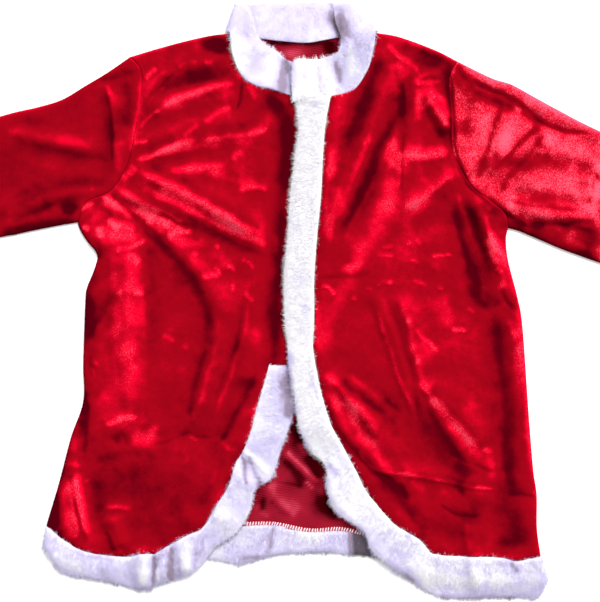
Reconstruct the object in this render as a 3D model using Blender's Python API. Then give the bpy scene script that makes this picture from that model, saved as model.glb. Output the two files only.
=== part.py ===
"""The jacket of a santa suit, laid flat and face up on a level surface: velvet fronts, back and
sleeves, a plush stand collar, and plush bands down the fronts and round the hem.

Tables and sizes are in millimetres, and meshes in metres. +X is to the right of someone looking
down at the jacket, +Y runs from the hem to the collar and +Z is up. The words right and left are
the wearer's, so the right front lies at -X. The origin is the middle of the outline, on the
surface that the jacket lies on.
"""

from collections import namedtuple

import bpy
import numpy as np

MM = 0.001

# ---------------------------------------------------------------- driving sizes
VELVET = 1.8  # thickness of the velvet with its pile
PLUSH = 7.0  # thickness of a doubled plush band with its pile
COLLAR_PLUSH = 5.6  # the collar's, pressed flatter
SEAM_GAP = 0.3  # between pieces that are sewn together, and between layers that touch
LOFT = 3.0  # how far the upper layer stands off the lower one, away from its edges
LOFT_WIDTH = 15.0  # distance in which it comes down to an edge
SEAM_RISE = 0.8  # how far it still stands off at a band or the collar
PAD_WIDTH = 9.0  # width of the rounded border of a band
PAD_EDGE = 0.4  # share of its thickness that a band has at its very edge
PRESSED_SHARE = 0.55  # share of its thickness that plush keeps under more plush
FOLD_AT_EDGE = 0.25  # share of its height that a fold keeps at the outline
EDGE_STEP = 4.0  # first step in from a sleeve's folded edge
FOLD_RISES = 0.22  # share of its length in which a fold rises
FOLD_FALLS = 0.3  # and in which it dies out
WRAP_STEPS = 4  # steps round a fold of the collar
SMOOTH_ANGLE = 50  # faces that meet at less than this many degrees are shaded as one

ON_BACK = VELVET + SEAM_GAP  # underside of what lies on the back
OVER_BACK_BAND = 1.0  # gap under what lies on the back's band
ON_RIGHT_FRONT = VELVET + SEAM_GAP  # further up, of what lies on the right front
ON_RIGHT_BAND = PLUSH * PRESSED_SHARE + 2 * SEAM_GAP  # and on the right front's band
ON_BACK_COLLAR = COLLAR_PLUSH + 1.0  # underside of the collar's front where it lies on its back

Ramp = namedtuple("Ramp", "start width")  # where a smooth change starts, and how far down it runs
ONTO_BACK_BAND = Ramp(84, 80)  # from the back band's sewn edge, along Y
OFF_BACK_BAND = Ramp(-3, 30)  # from the back band's free edge, along Y
FULL_BACK_BAND_FROM = Ramp(-90, 45)  # along X, where the back's band is pressed under the right front
FULL_BACK_BAND_TO = Ramp(105, 40)  # along X, where it is full again on this side of the left front
PANEL_PRESSED = Ramp(44, 24)  # from the left band's free edge, along -X, where it presses a panel
BAND_PRESSED = Ramp(23, 14)  # the same, where it presses the other band
PRESSING_ENDS = Ramp(-165, 40)  # along Y, where the left band leaves the right front
ONTO_RIGHT_BAND = Ramp(-60, 20)  # along Y, where the left band goes from the panel to the band
OFF_RIGHT_BAND = Ramp(-170, 45)  # along Y, where it comes down to the back
BESIDE_LEFT_BAND = Ramp(26, 24)  # from the left band's sewn edge, along X
ONTO_BACK_COLLAR = Ramp(-2, 55)  # from the back's neck seam, along Y
COLLAR_LEFT_END = Ramp(36, 22)  # along X, where the collar's left end lies on the right one
COLLAR_RIGHT_END = Ramp(-14, 20)  # along X, where the right end is pressed

Spot = namedtuple("Spot", "x y")  # a point that a seam or an outline runs through
Place = namedtuple("Place", "sewn_x sewn_y free_x free_y")  # one place along a band of plush
# A fold runs from (x0, y0) to (x1, y1) and bows sideways by `bow`. `left` and `right` are its
# widths on each side of that line. `rise` is its height, and it is below zero for a trough.
Fold = namedtuple("Fold", "x0 y0 x1 y1 bow left right rise")

# ---------------------------------------------------------------- seams and outlines
SEAMS = {
    # from the hem up to the armpit
    "side_right": [
        Spot(-354, -313), Spot(-337, -255), Spot(-320, -190), Spot(-303, -140), Spot(-303, -85),
        Spot(-300, 0), Spot(-298, 18), Spot(-290, 38), Spot(-285, 52), Spot(-283, 62),
        Spot(-287, 71), Spot(-295, 80), Spot(-304, 93), Spot(-309, 103), Spot(-311, 110),
    ],
    "side_left": [
        Spot(336, -356), Spot(331, -318), Spot(331, -272), Spot(326, -235), Spot(320, -165),
        Spot(311, -38), Spot(304, 5), Spot(291, 56), Spot(288, 86), Spot(291, 102),
    ],
    # from the armpit up to the shoulder
    "armhole_right": [
        Spot(-311, 110), Spot(-298, 138), Spot(-265, 153), Spot(-242, 188), Spot(-230, 240),
        Spot(-221, 300), Spot(-224, 325), Spot(-238, 341),
    ],
    "armhole_left": [
        Spot(291, 102), Spot(286, 122), Spot(267, 139), Spot(241, 158), Spot(223, 188),
        Spot(213, 214), Spot(211, 262), Spot(209, 311), Spot(220, 335),
    ],
    # from the neck to the armhole
    "shoulder_right": [
        Spot(-98, 374), Spot(-125, 371), Spot(-165, 362), Spot(-205, 351), Spot(-238, 341),
    ],
    "shoulder_left": [
        Spot(106, 375), Spot(139, 369), Spot(188, 351), Spot(220, 335),
    ],
    # from the front edge to the shoulder
    "neck_right_underlap": [Spot(7, 285), Spot(-11, 287), Spot(-43, 297)],
    "neck_right": [
        Spot(-43, 297), Spot(-62, 301), Spot(-80, 313), Spot(-90, 331), Spot(-96, 352),
        Spot(-98, 374),
    ],
    "neck_left": [
        Spot(43, 286), Spot(62, 290), Spot(79, 298), Spot(95, 323), Spot(102, 350), Spot(106, 375),
    ],
    "neck_back": [
        Spot(-98, 374), Spot(-58, 367), Spot(3, 361), Spot(30, 364), Spot(58, 369), Spot(106, 375),
    ],
    # the part of the right front that lies under the left front's band, from its lower end
    "underlap_edge": [Spot(7, -89), Spot(7, 285)],
    "underlap_line": [Spot(-43, -90), Spot(-43, 297)],
    "underlap_end": [Spot(-43, -90), Spot(7, -89)],
    # the sleeves' long edges and cuffs
    "sleeve_top_right": [
        Spot(-238, 341), Spot(-270, 319), Spot(-300, 301), Spot(-332, 282), Spot(-367, 271),
        Spot(-420, 258), Spot(-560, 213), Spot(-700, 170), Spot(-820, 132),
    ],
    "sleeve_under_right": [
        Spot(-311, 110), Spot(-340, 105), Spot(-380, 97), Spot(-402, 92), Spot(-420, 89),
        Spot(-560, 61), Spot(-680, 35), Spot(-781, 11),
    ],
    "cuff_right": [Spot(-781, 11), Spot(-820, 132)],
    "sleeve_top_left": [
        Spot(220, 335), Spot(267, 312), Spot(295, 303), Spot(321, 289), Spot(361, 267),
        Spot(420, 237), Spot(550, 180), Spot(680, 121), Spot(781, 74),
    ],
    "sleeve_under_left": [
        Spot(291, 102), Spot(308, 97), Spot(341, 83), Spot(367, 72), Spot(392, 63), Spot(420, 53),
        Spot(530, 15), Spot(640, -17), Spot(728, -43),
    ],
    "cuff_left": [Spot(728, -43), Spot(781, 74)],
    # the collar's rim from the centre front to its folds, and over its back
    "rim_right": [
        Spot(2, 331), Spot(-17, 335), Spot(-33, 348), Spot(-47, 357), Spot(-58, 368),
        Spot(-66, 392), Spot(-71, 407), Spot(-85, 413),
    ],
    "rim_back": [Spot(-85, 413), Spot(-40, 416), Spot(20, 417), Spot(60, 417), Spot(85, 412)],
    "rim_left": [
        Spot(85, 412), Spot(62, 413), Spot(49, 404), Spot(50, 387), Spot(57, 368), Spot(53, 347),
        Spot(38, 340), Spot(21, 336), Spot(-2, 337), Spot(-11, 331),
    ],
    # where the collar's left end is sewn to the top of the left front's band
    "collar_on_band": [Spot(43, 286), Spot(18, 284), Spot(-11, 281)],
}

# Bands of plush: the right front's starts at its cut upper end, and the left front's at the
# collar. The two tables of a front share the place where its edge turns into its hem.
BAND_RIGHT_FRONT = [
    Place(-43, -90, 7, -89), Place(-53, -123, -1, -130), Place(-63, -158, -12, -170),
    Place(-69, -183, -24, -203), Place(-80, -210, -33, -234), Place(-90, -226, -42, -251),
    Place(-97, -250, -62, -263), Place(-104, -266, -67, -288), Place(-114, -281, -79, -312),
    Place(-125, -300, -95, -330), Place(-138, -318, -117, -343), Place(-158, -327, -138, -370),
    Place(-183, -341, -163, -387), Place(-204, -353, -190, -394),
]
BAND_RIGHT_HEM = [
    Place(-204, -353, -190, -394), Place(-221, -352, -220, -406), Place(-245, -357, -250, -398),
    Place(-298, -350, -292, -389), Place(-329, -334, -333, -380), Place(-354, -313, -358, -343),
]
BAND_LEFT_FRONT = [
    Place(43, 286, -8, 281), Place(36, 248, -4, 240), Place(32, 200, -9, 200),
    Place(29, 140, -16, 140), Place(24, 91, -19, 91), Place(20, 31, -24, 35),
    Place(20, -28, -23, -28), Place(18, -60, -19, -62), Place(22, -91, -17, -93),
    Place(31, -133, -9, -138), Place(43, -172, -2, -180), Place(62, -207, 14, -211),
    Place(71, -224, 29, -223), Place(80, -240, 36, -238), Place(89, -260, 36, -263),
    Place(101, -277, 50, -295), Place(130, -310, 87, -321), Place(149, -322, 98, -348),
    Place(167, -333, 128, -374), Place(183, -352, 172, -405),
]
BAND_LEFT_HEM = [
    Place(183, -352, 172, -405), Place(203, -355, 200, -416), Place(236, -356, 244, -417),
    Place(280, -358, 291, -416), Place(300, -363, 311, -415), Place(318, -360, 334, -415),
    Place(336, -356, 347, -391),
]
BAND_BACK = [
    Place(-354, -313, -356, -345), Place(-294, -319, -294, -368), Place(-210, -319, -210, -372),
    Place(-140, -315, -132, -363), Place(-77, -309, -84, -369), Place(-35, -309, -42, -358),
    Place(14, -318, 4, -353), Place(56, -316, 50, -354), Place(92, -323, 94, -358),
    Place(168, -334, 175, -372), Place(252, -343, 256, -384), Place(336, -356, 346, -386),
]
BAND_SHARES = (0, 0.09, 0.22, 0.4, 0.6, 0.78, 0.91, 1)  # where a band's lengthwise lines run

# ---------------------------------------------------------------- folds
FOLDS_RIGHT = [
    # front
    Fold(-118, 360, -222, 262, -8, 26, 12, 5.0),
    Fold(-226, 246, -84, 303, 14, 14, 22, 5.5),
    Fold(-234, 208, -50, 244, 12, 14, 22, 6.0),
    Fold(-243, 184, -28, 72, 8, 20, 13, 10.5),
    Fold(-262, 150, -118, 96, 8, 13, 10, 7.5),
    Fold(-258, 140, -112, -22, 6, 16, 14, -2.6),
    Fold(-212, 96, -88, -42, 8, 18, 18, 6.0),
    Fold(-272, 100, -236, -20, 8, 18, 20, 6.5),
    Fold(-240, 10, -240, -195, 6, 26, 22, 7.0),
    Fold(-281, 20, -268, -165, 6, 12, 12, -2.4),
    Fold(-318, -215, -300, -342, 0, 10, 12, 6.0),
    Fold(-104, -25, -140, -178, 4, 16, 14, 5.5),
    Fold(-68, -25, -108, -195, 4, 14, 14, 5.0),
    Fold(-262, -296, -246, -352, 0, 10, 12, 5.0),
    Fold(-280, -198, -98, -195, 6, 12, 14, -2.2),
    # waves across the band
    Fold(-221, -338, -221, -410, 0, 13, 10, 6.0),
    Fold(-197, -340, -183, -396, 0, 9, 9, 4.0),
    Fold(-172, -326, -153, -390, 0, 10, 10, 5.0),
    Fold(-104, -238, -56, -266, 4, 11, 11, 5.0),
    Fold(-118, -290, -88, -318, 0, 10, 12, 3.5),
    # sleeve
    Fold(-272, 307, -264, 172, 8, 11, 9, 4.5),
    Fold(-425, 234, -268, 200, 3, 14, 14, 3.5),
    Fold(-440, 120, -285, 152, 6, 14, 12, 4.0),
    Fold(-520, 216, -500, 84, 8, 13, 16, 4.5),
    Fold(-566, 204, -610, 66, -8, 16, 13, 4.5),
    Fold(-640, 170, -755, 72, 4, 14, 16, 4.0),
]
FOLDS_LEFT = [
    # front
    Fold(120, 362, 36, 52, -12, 15, 16, 9.0),
    Fold(141, 300, 44, 62, -6, 12, 12, -2.6),
    Fold(156, 340, 143, 160, 0, 14, 14, 5.0),
    Fold(166, 298, 212, 222, 4, 13, 11, 7.5),
    Fold(224, 182, 136, 122, -4, 13, 14, 6.0),
    Fold(214, 160, 262, -5, 8, 13, 13, -2.6),
    Fold(232, 158, 284, 10, 8, 12, 13, 8.0),
    Fold(300, 30, 322, -262, 6, 14, 12, 5.0),
    Fold(281, -25, 287, -305, 3, 12, 12, -2.6),
    Fold(100, 20, 162, -175, 8, 12, 12, 6.0),
    Fold(140, 20, 170, -120, 4, 13, 13, 6.0),
    Fold(166, -108, 270, -218, 8, 18, 12, 7.5),
    Fold(29, -100, 122, -210, 10, 18, 12, 9.0),
    Fold(44, -134, 164, -294, 6, 12, 12, -2.6),
    Fold(98, -233, 282, -261, 4, 10, 10, 3.5),
    # a wave across the band
    Fold(232, -300, 247, -414, 0, 11, 12, 4.5),
    # sleeve
    Fold(233, 303, 420, 222, -4, 11, 11, -2.4),
    Fold(295, 268, 258, 162, 3, 13, 10, 4.5),
    Fold(352, 240, 300, 146, 4, 12, 10, 5.0),
    Fold(270, 134, 425, 96, 10, 13, 12, 4.5),
    Fold(420, 196, 404, 128, 2, 12, 12, 4.0),
    Fold(500, 172, 460, 60, 6, 13, 15, 4.5),
    Fold(552, 152, 596, 26, -6, 15, 13, 4.5),
    Fold(628, 118, 712, 8, 4, 15, 13, 4.0),
]

# ---------------------------------------------------------------- how finely each seam is divided
STEPS = {
    "side": 22,
    "armhole": 12,
    "shoulder": 14,
    "shoulder_back": 2,
    "hem": 14,
    "band_right_front": 13,
    "band_left_front": 28,
    "underlap": 15,
    "underlap_end": 3,
    "neck": 6,
    "neck_back": 8,
    "back": 12,
    "sleeve": 22,
    "collar_on_band": 4,
}

COLOURS = {"velvet": (0.42, 0.004, 0.012), "plush": (0.86, 0.85, 0.9)}
ROUGHNESS = {"velvet": 0.6, "plush": 0.85}


# ---------------------------------------------------------------- curves
def smoothed(spots, per_span=16):
    """A Catmull-Rom curve through points, as many close points."""
    p = np.array(spots, float)
    p = np.vstack([2 * p[0] - p[1], p, 2 * p[-1] - p[-2]])
    t = np.linspace(0, 1, per_span, endpoint=False)[:, None]
    spans = [
        0.5 * (2 * b + (c - a) * t + (2 * a - 5 * b + 4 * c - d) * t**2 + (3 * b - a - 3 * c + d) * t**3)
        for a, b, c, d in zip(p[:-3], p[1:-2], p[2:-1], p[3:])
    ]
    return np.vstack(spans + [p[-2:-1]])


def lengths(line):
    """Length along a line of points, from 0 at its start."""
    return np.concatenate([[0], np.cumsum(np.linalg.norm(np.diff(line, axis=0), axis=1))])


def at_marks(line, along, marks):
    """Points on a line at these marks, where `along` is the line's own mark at each point."""
    return np.stack([np.interp(marks, along, line[:, k]) for k in range(line.shape[1])], axis=1)


def seam(name, steps, edge_step=None):
    """A named seam as points a step apart, which the pieces on both sides of it share."""
    line = smoothed(SEAMS[name])
    along = lengths(line)
    marks = np.linspace(0, along[-1], steps + 1)
    if edge_step:
        inner = np.linspace(edge_step, along[-1] - edge_step, steps - 1)
        marks = np.concatenate([[0], inner, [along[-1]]])
    return at_marks(line, along, marks)


def band_edges(table, steps):
    """A band's sewn and free edges as matching points."""
    sewn = smoothed([(p.sewn_x, p.sewn_y) for p in table])
    free = smoothed([(p.free_x, p.free_y) for p in table])
    along = lengths(sewn)
    marks = np.linspace(0, along[-1], steps + 1)
    return at_marks(sewn, along, marks), at_marks(free, along, marks)


def joined(*lines):
    """Lines that follow each other as one line, with each shared end kept once."""
    return np.vstack([lines[0]] + [line[1:] for line in lines[1:]])


def distance_to(xy, line):
    """Shortest distance from each point to a line of points."""
    start, run = line[:-1], np.diff(line, axis=0)
    away = xy[..., None, :] - start
    share = np.clip((away * run).sum(-1) / np.maximum((run**2).sum(-1), 1e-9), 0, 1)
    return np.linalg.norm(away - share[..., None] * run, axis=-1).min(-1)


# ---------------------------------------------------------------- plans
# Points in plan. `border` is each edge of the outline, anticlockwise, and `grids` has the numbers
# of the points of each grid that the plan was made from.
Plan = namedtuple("Plan", "points quads border grids")


def patch(bottom, top, left, right):
    """A Coons patch: plan points blended between four sides. Rows run from the bottom to the top
    side, and columns from the left to the right one."""
    u = ((lengths(bottom) / lengths(bottom)[-1] + lengths(top) / lengths(top)[-1]) / 2)[None, :, None]
    v = ((lengths(left) / lengths(left)[-1] + lengths(right) / lengths(right)[-1]) / 2)[:, None, None]
    ruled = (1 - v) * bottom[None] + v * top[None] + (1 - u) * left[:, None] + u * right[:, None]
    corners = (1 - v) * ((1 - u) * bottom[0] + u * bottom[-1]) + v * ((1 - u) * top[0] + u * top[-1])
    return ruled - corners


def plan_of(*grids):
    """Grids of plan points as one plan, joined where their sides share points."""
    points = np.vstack([grid.reshape(-1, 2) for grid in grids])
    _, kept, places = np.unique(np.round(points, 4), axis=0, return_index=True, return_inverse=True)
    parts = np.split(places.reshape(-1), np.cumsum([grid.size // 2 for grid in grids])[:-1])
    numbers = [part.reshape(grid.shape[:2]) for part, grid in zip(parts, grids)]
    quads = np.vstack([
        np.stack([i[:-1, :-1], i[:-1, 1:], i[1:, 1:], i[1:, :-1]], -1).reshape(-1, 4) for i in numbers
    ])
    edges = np.stack([quads, np.roll(quads, -1, axis=1)], -1).reshape(-1, 2).tolist()
    used = {tuple(edge) for edge in edges}
    border = np.array([edge for edge in edges if (edge[1], edge[0]) not in used])
    return Plan(points[kept], quads, border, numbers)


def drawn_in(plan, amount=SEAM_GAP / 2):
    """The plan with its outline moved inwards, which leaves the gap of a seam."""
    run = plan.points[plan.border[:, 1]] - plan.points[plan.border[:, 0]]
    square = np.stack([-run[:, 1], run[:, 0]], 1) / np.linalg.norm(run, axis=1)[:, None]
    before, after = np.zeros_like(plan.points), np.zeros_like(plan.points)
    after[plan.border[:, 0]] = square
    before[plan.border[:, 1]] = square
    middle = before + after
    share = np.maximum((middle * before).sum(1), 0.5)
    return plan._replace(points=plan.points + amount * middle / share[:, None])


# ---------------------------------------------------------------- heights
def eased(value):
    """0 below 0, 1 above 1, and a smooth rise between."""
    s = np.clip(value, 0, 1)
    return s * s * (3 - 2 * s)


def below(ramp, value):
    """0 above a ramp's start, and 1 below its end."""
    return eased((ramp.start - value) / ramp.width)


def rounded(distance, width):
    """0 at an edge and 1 beyond a width, as a quarter circle."""
    return np.sqrt(1 - (1 - np.clip(distance / width, 0, 1)) ** 2)


def fold_height(xy, folds):
    """Sum of the folds at each point: a bell across each fold's line that dies out at its ends."""
    height = np.zeros(xy.shape[:-1])
    for f in folds:
        run = np.array([f.x1 - f.x0, f.y1 - f.y0], float)
        size = np.hypot(*run)
        away = xy - (f.x0, f.y0)
        along = (away @ run) / size**2
        across = (away[..., 1] * run[0] - away[..., 0] * run[1]) / size
        across = across - 4 * f.bow * along * (1 - along)
        bell = np.exp(-((across / np.where(across > 0, f.left, f.right)) ** 2))
        height += f.rise * bell * eased(along / FOLD_RISES) * eased((1 - along) / FOLD_FALLS)
    return height


def back_band_thickness(xy):
    """The back's band is pressed under the fronts, and full between them."""
    x = xy[..., 0]
    between = (1 - below(FULL_BACK_BAND_FROM, x)) * below(FULL_BACK_BAND_TO, x)
    return PLUSH * (PRESSED_SHARE + (1 - PRESSED_SHARE) * between)


def support(xy):
    """Underside of a front piece: it lies on the back, on the back's band, or past it on the floor."""
    x, y = xy[..., 0], xy[..., 1]
    begins = np.interp(x, [p.sewn_x for p in BAND_BACK], [p.sewn_y for p in BAND_BACK])
    ends = np.interp(x, [p.free_x for p in BAND_BACK], [p.free_y for p in BAND_BACK])
    rise = back_band_thickness(xy) + OVER_BACK_BAND - ON_BACK
    on_band = rise * below(ONTO_BACK_BAND, y - begins)
    return (ON_BACK + on_band) * (1 - below(OFF_BACK_BAND, y - ends))


# the left front's band above the place where it turns into the hem, from that place up
STRAIGHT_ABOVE = -230
LEFT_BAND_STRAIGHT = [place for place in BAND_LEFT_FRONT if place.sewn_y > STRAIGHT_ABOVE][::-1]


def pressed(xy, ramp):
    """1 where the left front's band presses on the right front, and 0 away from it."""
    x, y = xy[..., 0], xy[..., 1]
    free_y, free_x = [p.free_y for p in LEFT_BAND_STRAIGHT], [p.free_x for p in LEFT_BAND_STRAIGHT]
    return below(ramp, np.interp(y, free_y, free_x) - x) * (1 - below(PRESSING_ENDS, y))


def left_lift(xy):
    """How far the left front's band is lifted by the right front and by that front's own band."""
    x, y = xy[..., 0], xy[..., 1]
    sewn_y, sewn_x = [p.sewn_y for p in LEFT_BAND_STRAIGHT], [p.sewn_x for p in LEFT_BAND_STRAIGHT]
    lift = ON_RIGHT_FRONT + (ON_RIGHT_BAND - ON_RIGHT_FRONT) * below(ONTO_RIGHT_BAND, y)
    beside = below(BESIDE_LEFT_BAND, x - np.interp(y, sewn_y, sewn_x))
    return lift * (1 - below(OFF_RIGHT_BAND, y)) * beside


OUTLINES = {
    side: [smoothed(SEAMS[part + side]) for part in ("side_", "shoulder_", "sleeve_top_", "sleeve_under_")]
    for side in ("right", "left")
}


def standing(xy, side, folds, seams=()):
    """How far an upper layer stands off what it lies on: its loft and its folds."""
    at_outline = rounded(np.min([distance_to(xy, line) for line in OUTLINES[side]], axis=0), LOFT_WIDTH)
    loft = LOFT * at_outline
    for line in seams:
        loft = np.minimum(loft, SEAM_RISE + (LOFT - SEAM_RISE) * rounded(distance_to(xy, line), LOFT_WIDTH))
    return np.maximum(loft + fold_height(xy, folds) * (FOLD_AT_EDGE + (1 - FOLD_AT_EDGE) * at_outline), 0)


# ---------------------------------------------------------------- meshes
Piece = namedtuple("Piece", "name finish vertices triangles")


def split(quads):
    """Two triangles for each quad."""
    return np.vstack([quads[:, [0, 1, 2]], quads[:, [0, 2, 3]]])


def slab(name, finish, plan, under, top):
    """The cloth between two heights over a plan, closed round its outline."""
    n = len(plan.points)
    start, end = plan.border.T
    wall = np.stack([start + n, end + n, end, start], -1)
    upper, lower = split(plan.quads), split(plan.quads)[:, ::-1] + n
    vertices = np.vstack([np.column_stack([plan.points, top]), np.column_stack([plan.points, under])])
    return Piece(name, finish, vertices, np.vstack([upper, lower, split(wall)]))


def rings_joined(rings, after):
    """Quads between closed rings of point numbers, each with the one after it."""
    return np.stack([rings, np.roll(rings, -1, 1), np.roll(after, -1, 1), after], -1).reshape(-1, 4)


def turned_out(piece):
    """The piece with its faces pointing outwards."""
    a, b, c = (piece.vertices[piece.triangles[:, k]] for k in range(3))
    inside_out = (a * np.cross(b, c)).sum() < 0
    return piece._replace(triangles=piece.triangles[:, ::-1]) if inside_out else piece


def tube(name, finish, outer, inner):
    """The wall between outer and inner rings, open at both ends. Arrays are rings, points, xyz."""
    i = np.arange(outer.shape[0] * outer.shape[1]).reshape(outer.shape[:2])
    j = i + i.size
    quads = np.vstack([
        rings_joined(i[:-1], i[1:]),
        rings_joined(j[:-1], j[1:])[:, ::-1],
        rings_joined(j[:1], i[:1]),
        rings_joined(i[-1:], j[-1:]),
    ])
    vertices = np.vstack([outer.reshape(-1, 3), inner.reshape(-1, 3)])
    return turned_out(Piece(name, finish, vertices, split(quads)))


def bar(name, finish, rings):
    """A solid through closed rings, with a flat end at the first and the last one."""
    i = np.arange(rings.shape[0] * rings.shape[1]).reshape(rings.shape[:2])
    fan = np.arange(1, rings.shape[1] - 1)
    first = np.stack([i[0, fan], np.full(len(fan), i[0, 0]), i[0, fan + 1]], -1)
    last = np.stack([i[-1, fan], i[-1, fan + 1], np.full(len(fan), i[-1, 0])], -1)
    triangles = np.vstack([split(rings_joined(i[:-1], i[1:])), first, last])
    return turned_out(Piece(name, finish, rings.reshape(-1, 3), triangles))


# ---------------------------------------------------------------- pieces
def side_and_armhole(side):
    return joined(seam("side_" + side, STEPS["side"]), seam("armhole_" + side, STEPS["armhole"], EDGE_STEP))


def front_panel_right():
    """The right front, with the strip that lies under the left front's band."""
    hem = band_edges(BAND_RIGHT_HEM, STEPS["hem"])[0]
    edge = band_edges(BAND_RIGHT_FRONT, STEPS["band_right_front"])[0]
    line = seam("underlap_line", STEPS["underlap"])
    neck = seam("neck_right", STEPS["neck"])
    body = patch(
        bottom=hem[::-1],
        top=seam("shoulder_right", STEPS["shoulder"])[::-1],
        left=side_and_armhole("right"),
        right=joined(edge[::-1], line, neck),
    )
    strip = patch(
        bottom=seam("underlap_end", STEPS["underlap_end"]),
        top=seam("neck_right_underlap", STEPS["underlap_end"])[::-1],
        left=line,
        right=seam("underlap_edge", STEPS["underlap"]),
    )
    plan = drawn_in(plan_of(body, strip))
    seams = [hem, edge, smoothed(SEAMS["neck_right"])]
    free = support(plan.points) + standing(plan.points, "right", FOLDS_RIGHT, seams)
    under = free + (ON_BACK - free) * pressed(plan.points, PANEL_PRESSED)
    return slab("front_panel_right", "velvet", plan, under, under + VELVET)


def front_panel_left():
    hem = band_edges(BAND_LEFT_HEM, STEPS["hem"])[0]
    edge = band_edges(BAND_LEFT_FRONT, STEPS["band_left_front"])[0]
    neck = seam("neck_left", STEPS["neck"])
    body = patch(
        bottom=hem,
        top=seam("shoulder_left", STEPS["shoulder"]),
        left=joined(edge[::-1], neck),
        right=side_and_armhole("left"),
    )
    plan = drawn_in(plan_of(body))
    under = support(plan.points) + left_lift(plan.points)
    under = under + standing(plan.points, "left", FOLDS_LEFT, [hem, edge, neck])
    return slab("front_panel_left", "velvet", plan, under, under + VELVET)


def back_panel():
    """The back, flat on the surface under everything else."""
    shoulders = [seam("shoulder_" + side, STEPS["shoulder_back"]) for side in ("right", "left")]
    body = patch(
        bottom=band_edges(BAND_BACK, STEPS["back"])[0],
        top=joined(shoulders[0][::-1], seam("neck_back", STEPS["neck_back"]), shoulders[1]),
        left=side_and_armhole("right"),
        right=side_and_armhole("left"),
    )
    plan = drawn_in(plan_of(body))
    under = np.zeros(len(plan.points))
    return slab("back_panel", "velvet", plan, under, under + VELVET)


def sleeve(side):
    """A sleeve as a flattened tube from the armhole to the cuff, with both ends open."""
    armhole = seam("armhole_" + side, STEPS["armhole"], EDGE_STEP)
    cuff = seam("cuff_" + side, STEPS["armhole"], EDGE_STEP)
    under_edge = seam("sleeve_under_" + side, STEPS["sleeve"])
    top_edge = seam("sleeve_top_" + side, STEPS["sleeve"])
    if side == "right":
        grid = patch(bottom=under_edge[::-1], top=top_edge[::-1], left=cuff, right=armhole)
        folds = FOLDS_RIGHT
    else:
        grid = patch(bottom=under_edge, top=top_edge, left=armhole, right=cuff)
        folds = FOLDS_LEFT
    plan = drawn_in(plan_of(grid))
    grid = plan.points[plan.grids[0]]
    inner = grid.copy()
    inset = (VELVET - SEAM_GAP / 2) / EDGE_STEP
    inner[0] += inset * (grid[1] - grid[0])
    inner[-1] += inset * (grid[-2] - grid[-1])
    under = ON_BACK + standing(grid, side, folds)
    seam_height = VELVET + SEAM_GAP / 2
    outer_low, outer_high = np.zeros(under.shape), under + VELVET
    inner_low, inner_high = np.full(under.shape, VELVET), under.copy()
    for height in (outer_low, outer_high, inner_low, inner_high):
        height[[0, -1]] = seam_height

    def rings(xy, low, high):
        lower, upper = np.dstack([xy, low]), np.dstack([xy, high])
        return np.vstack([lower, upper[-2:0:-1]]).transpose(1, 0, 2)

    outer = rings(grid, outer_low, outer_high)
    return tube("sleeve_" + side, "velvet", outer, rings(inner, inner_low, inner_high))


def band(name, sewn, free, under, thickness=lambda xy: PLUSH):
    """A band of plush between its sewn and free edges, thick in the middle and round at its border."""
    shares = np.array(BAND_SHARES)[:, None]
    start = sewn[0] + shares * (free[0] - sewn[0])
    end = sewn[-1] + shares * (free[-1] - sewn[-1])
    plan = drawn_in(plan_of(patch(bottom=free, top=sewn, left=start[::-1], right=end[::-1])))
    outline = np.vstack([sewn, end, free[::-1], start[::-1]])
    pad = PAD_EDGE + (1 - PAD_EDGE) * rounded(distance_to(plan.points, outline), PAD_WIDTH)
    low = under(plan.points)
    return slab(name, "plush", plan, low, low + thickness(plan.points) * pad)


def front_trim_right():
    """The right front's band, from its cut upper end round to the side seam."""
    front = band_edges(BAND_RIGHT_FRONT, STEPS["band_right_front"])
    hem = band_edges(BAND_RIGHT_HEM, STEPS["hem"])

    def under(xy):
        free = support(xy) + fold_height(xy, FOLDS_RIGHT)
        return free + (ON_BACK - free) * pressed(xy, BAND_PRESSED)

    def thickness(xy):
        return PLUSH * (1 - (1 - PRESSED_SHARE) * pressed(xy, BAND_PRESSED))

    sewn, free_edge = joined(front[0], hem[0])[::-1], joined(front[1], hem[1])[::-1]
    return band("front_trim_right", sewn, free_edge, under, thickness)


def front_trim_left():
    """The left front's band, from the collar round to the side seam."""
    front = band_edges(BAND_LEFT_FRONT, STEPS["band_left_front"])
    hem = band_edges(BAND_LEFT_HEM, STEPS["hem"])

    def under(xy):
        return support(xy) + left_lift(xy) + np.maximum(fold_height(xy, FOLDS_LEFT), 0)

    return band("front_trim_left", joined(front[0], hem[0]), joined(front[1], hem[1]), under)


def back_trim():
    sewn, free = band_edges(BAND_BACK, STEPS["back"])
    return band("back_trim", sewn, free, lambda xy: np.zeros(len(xy)), back_band_thickness)


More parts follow.
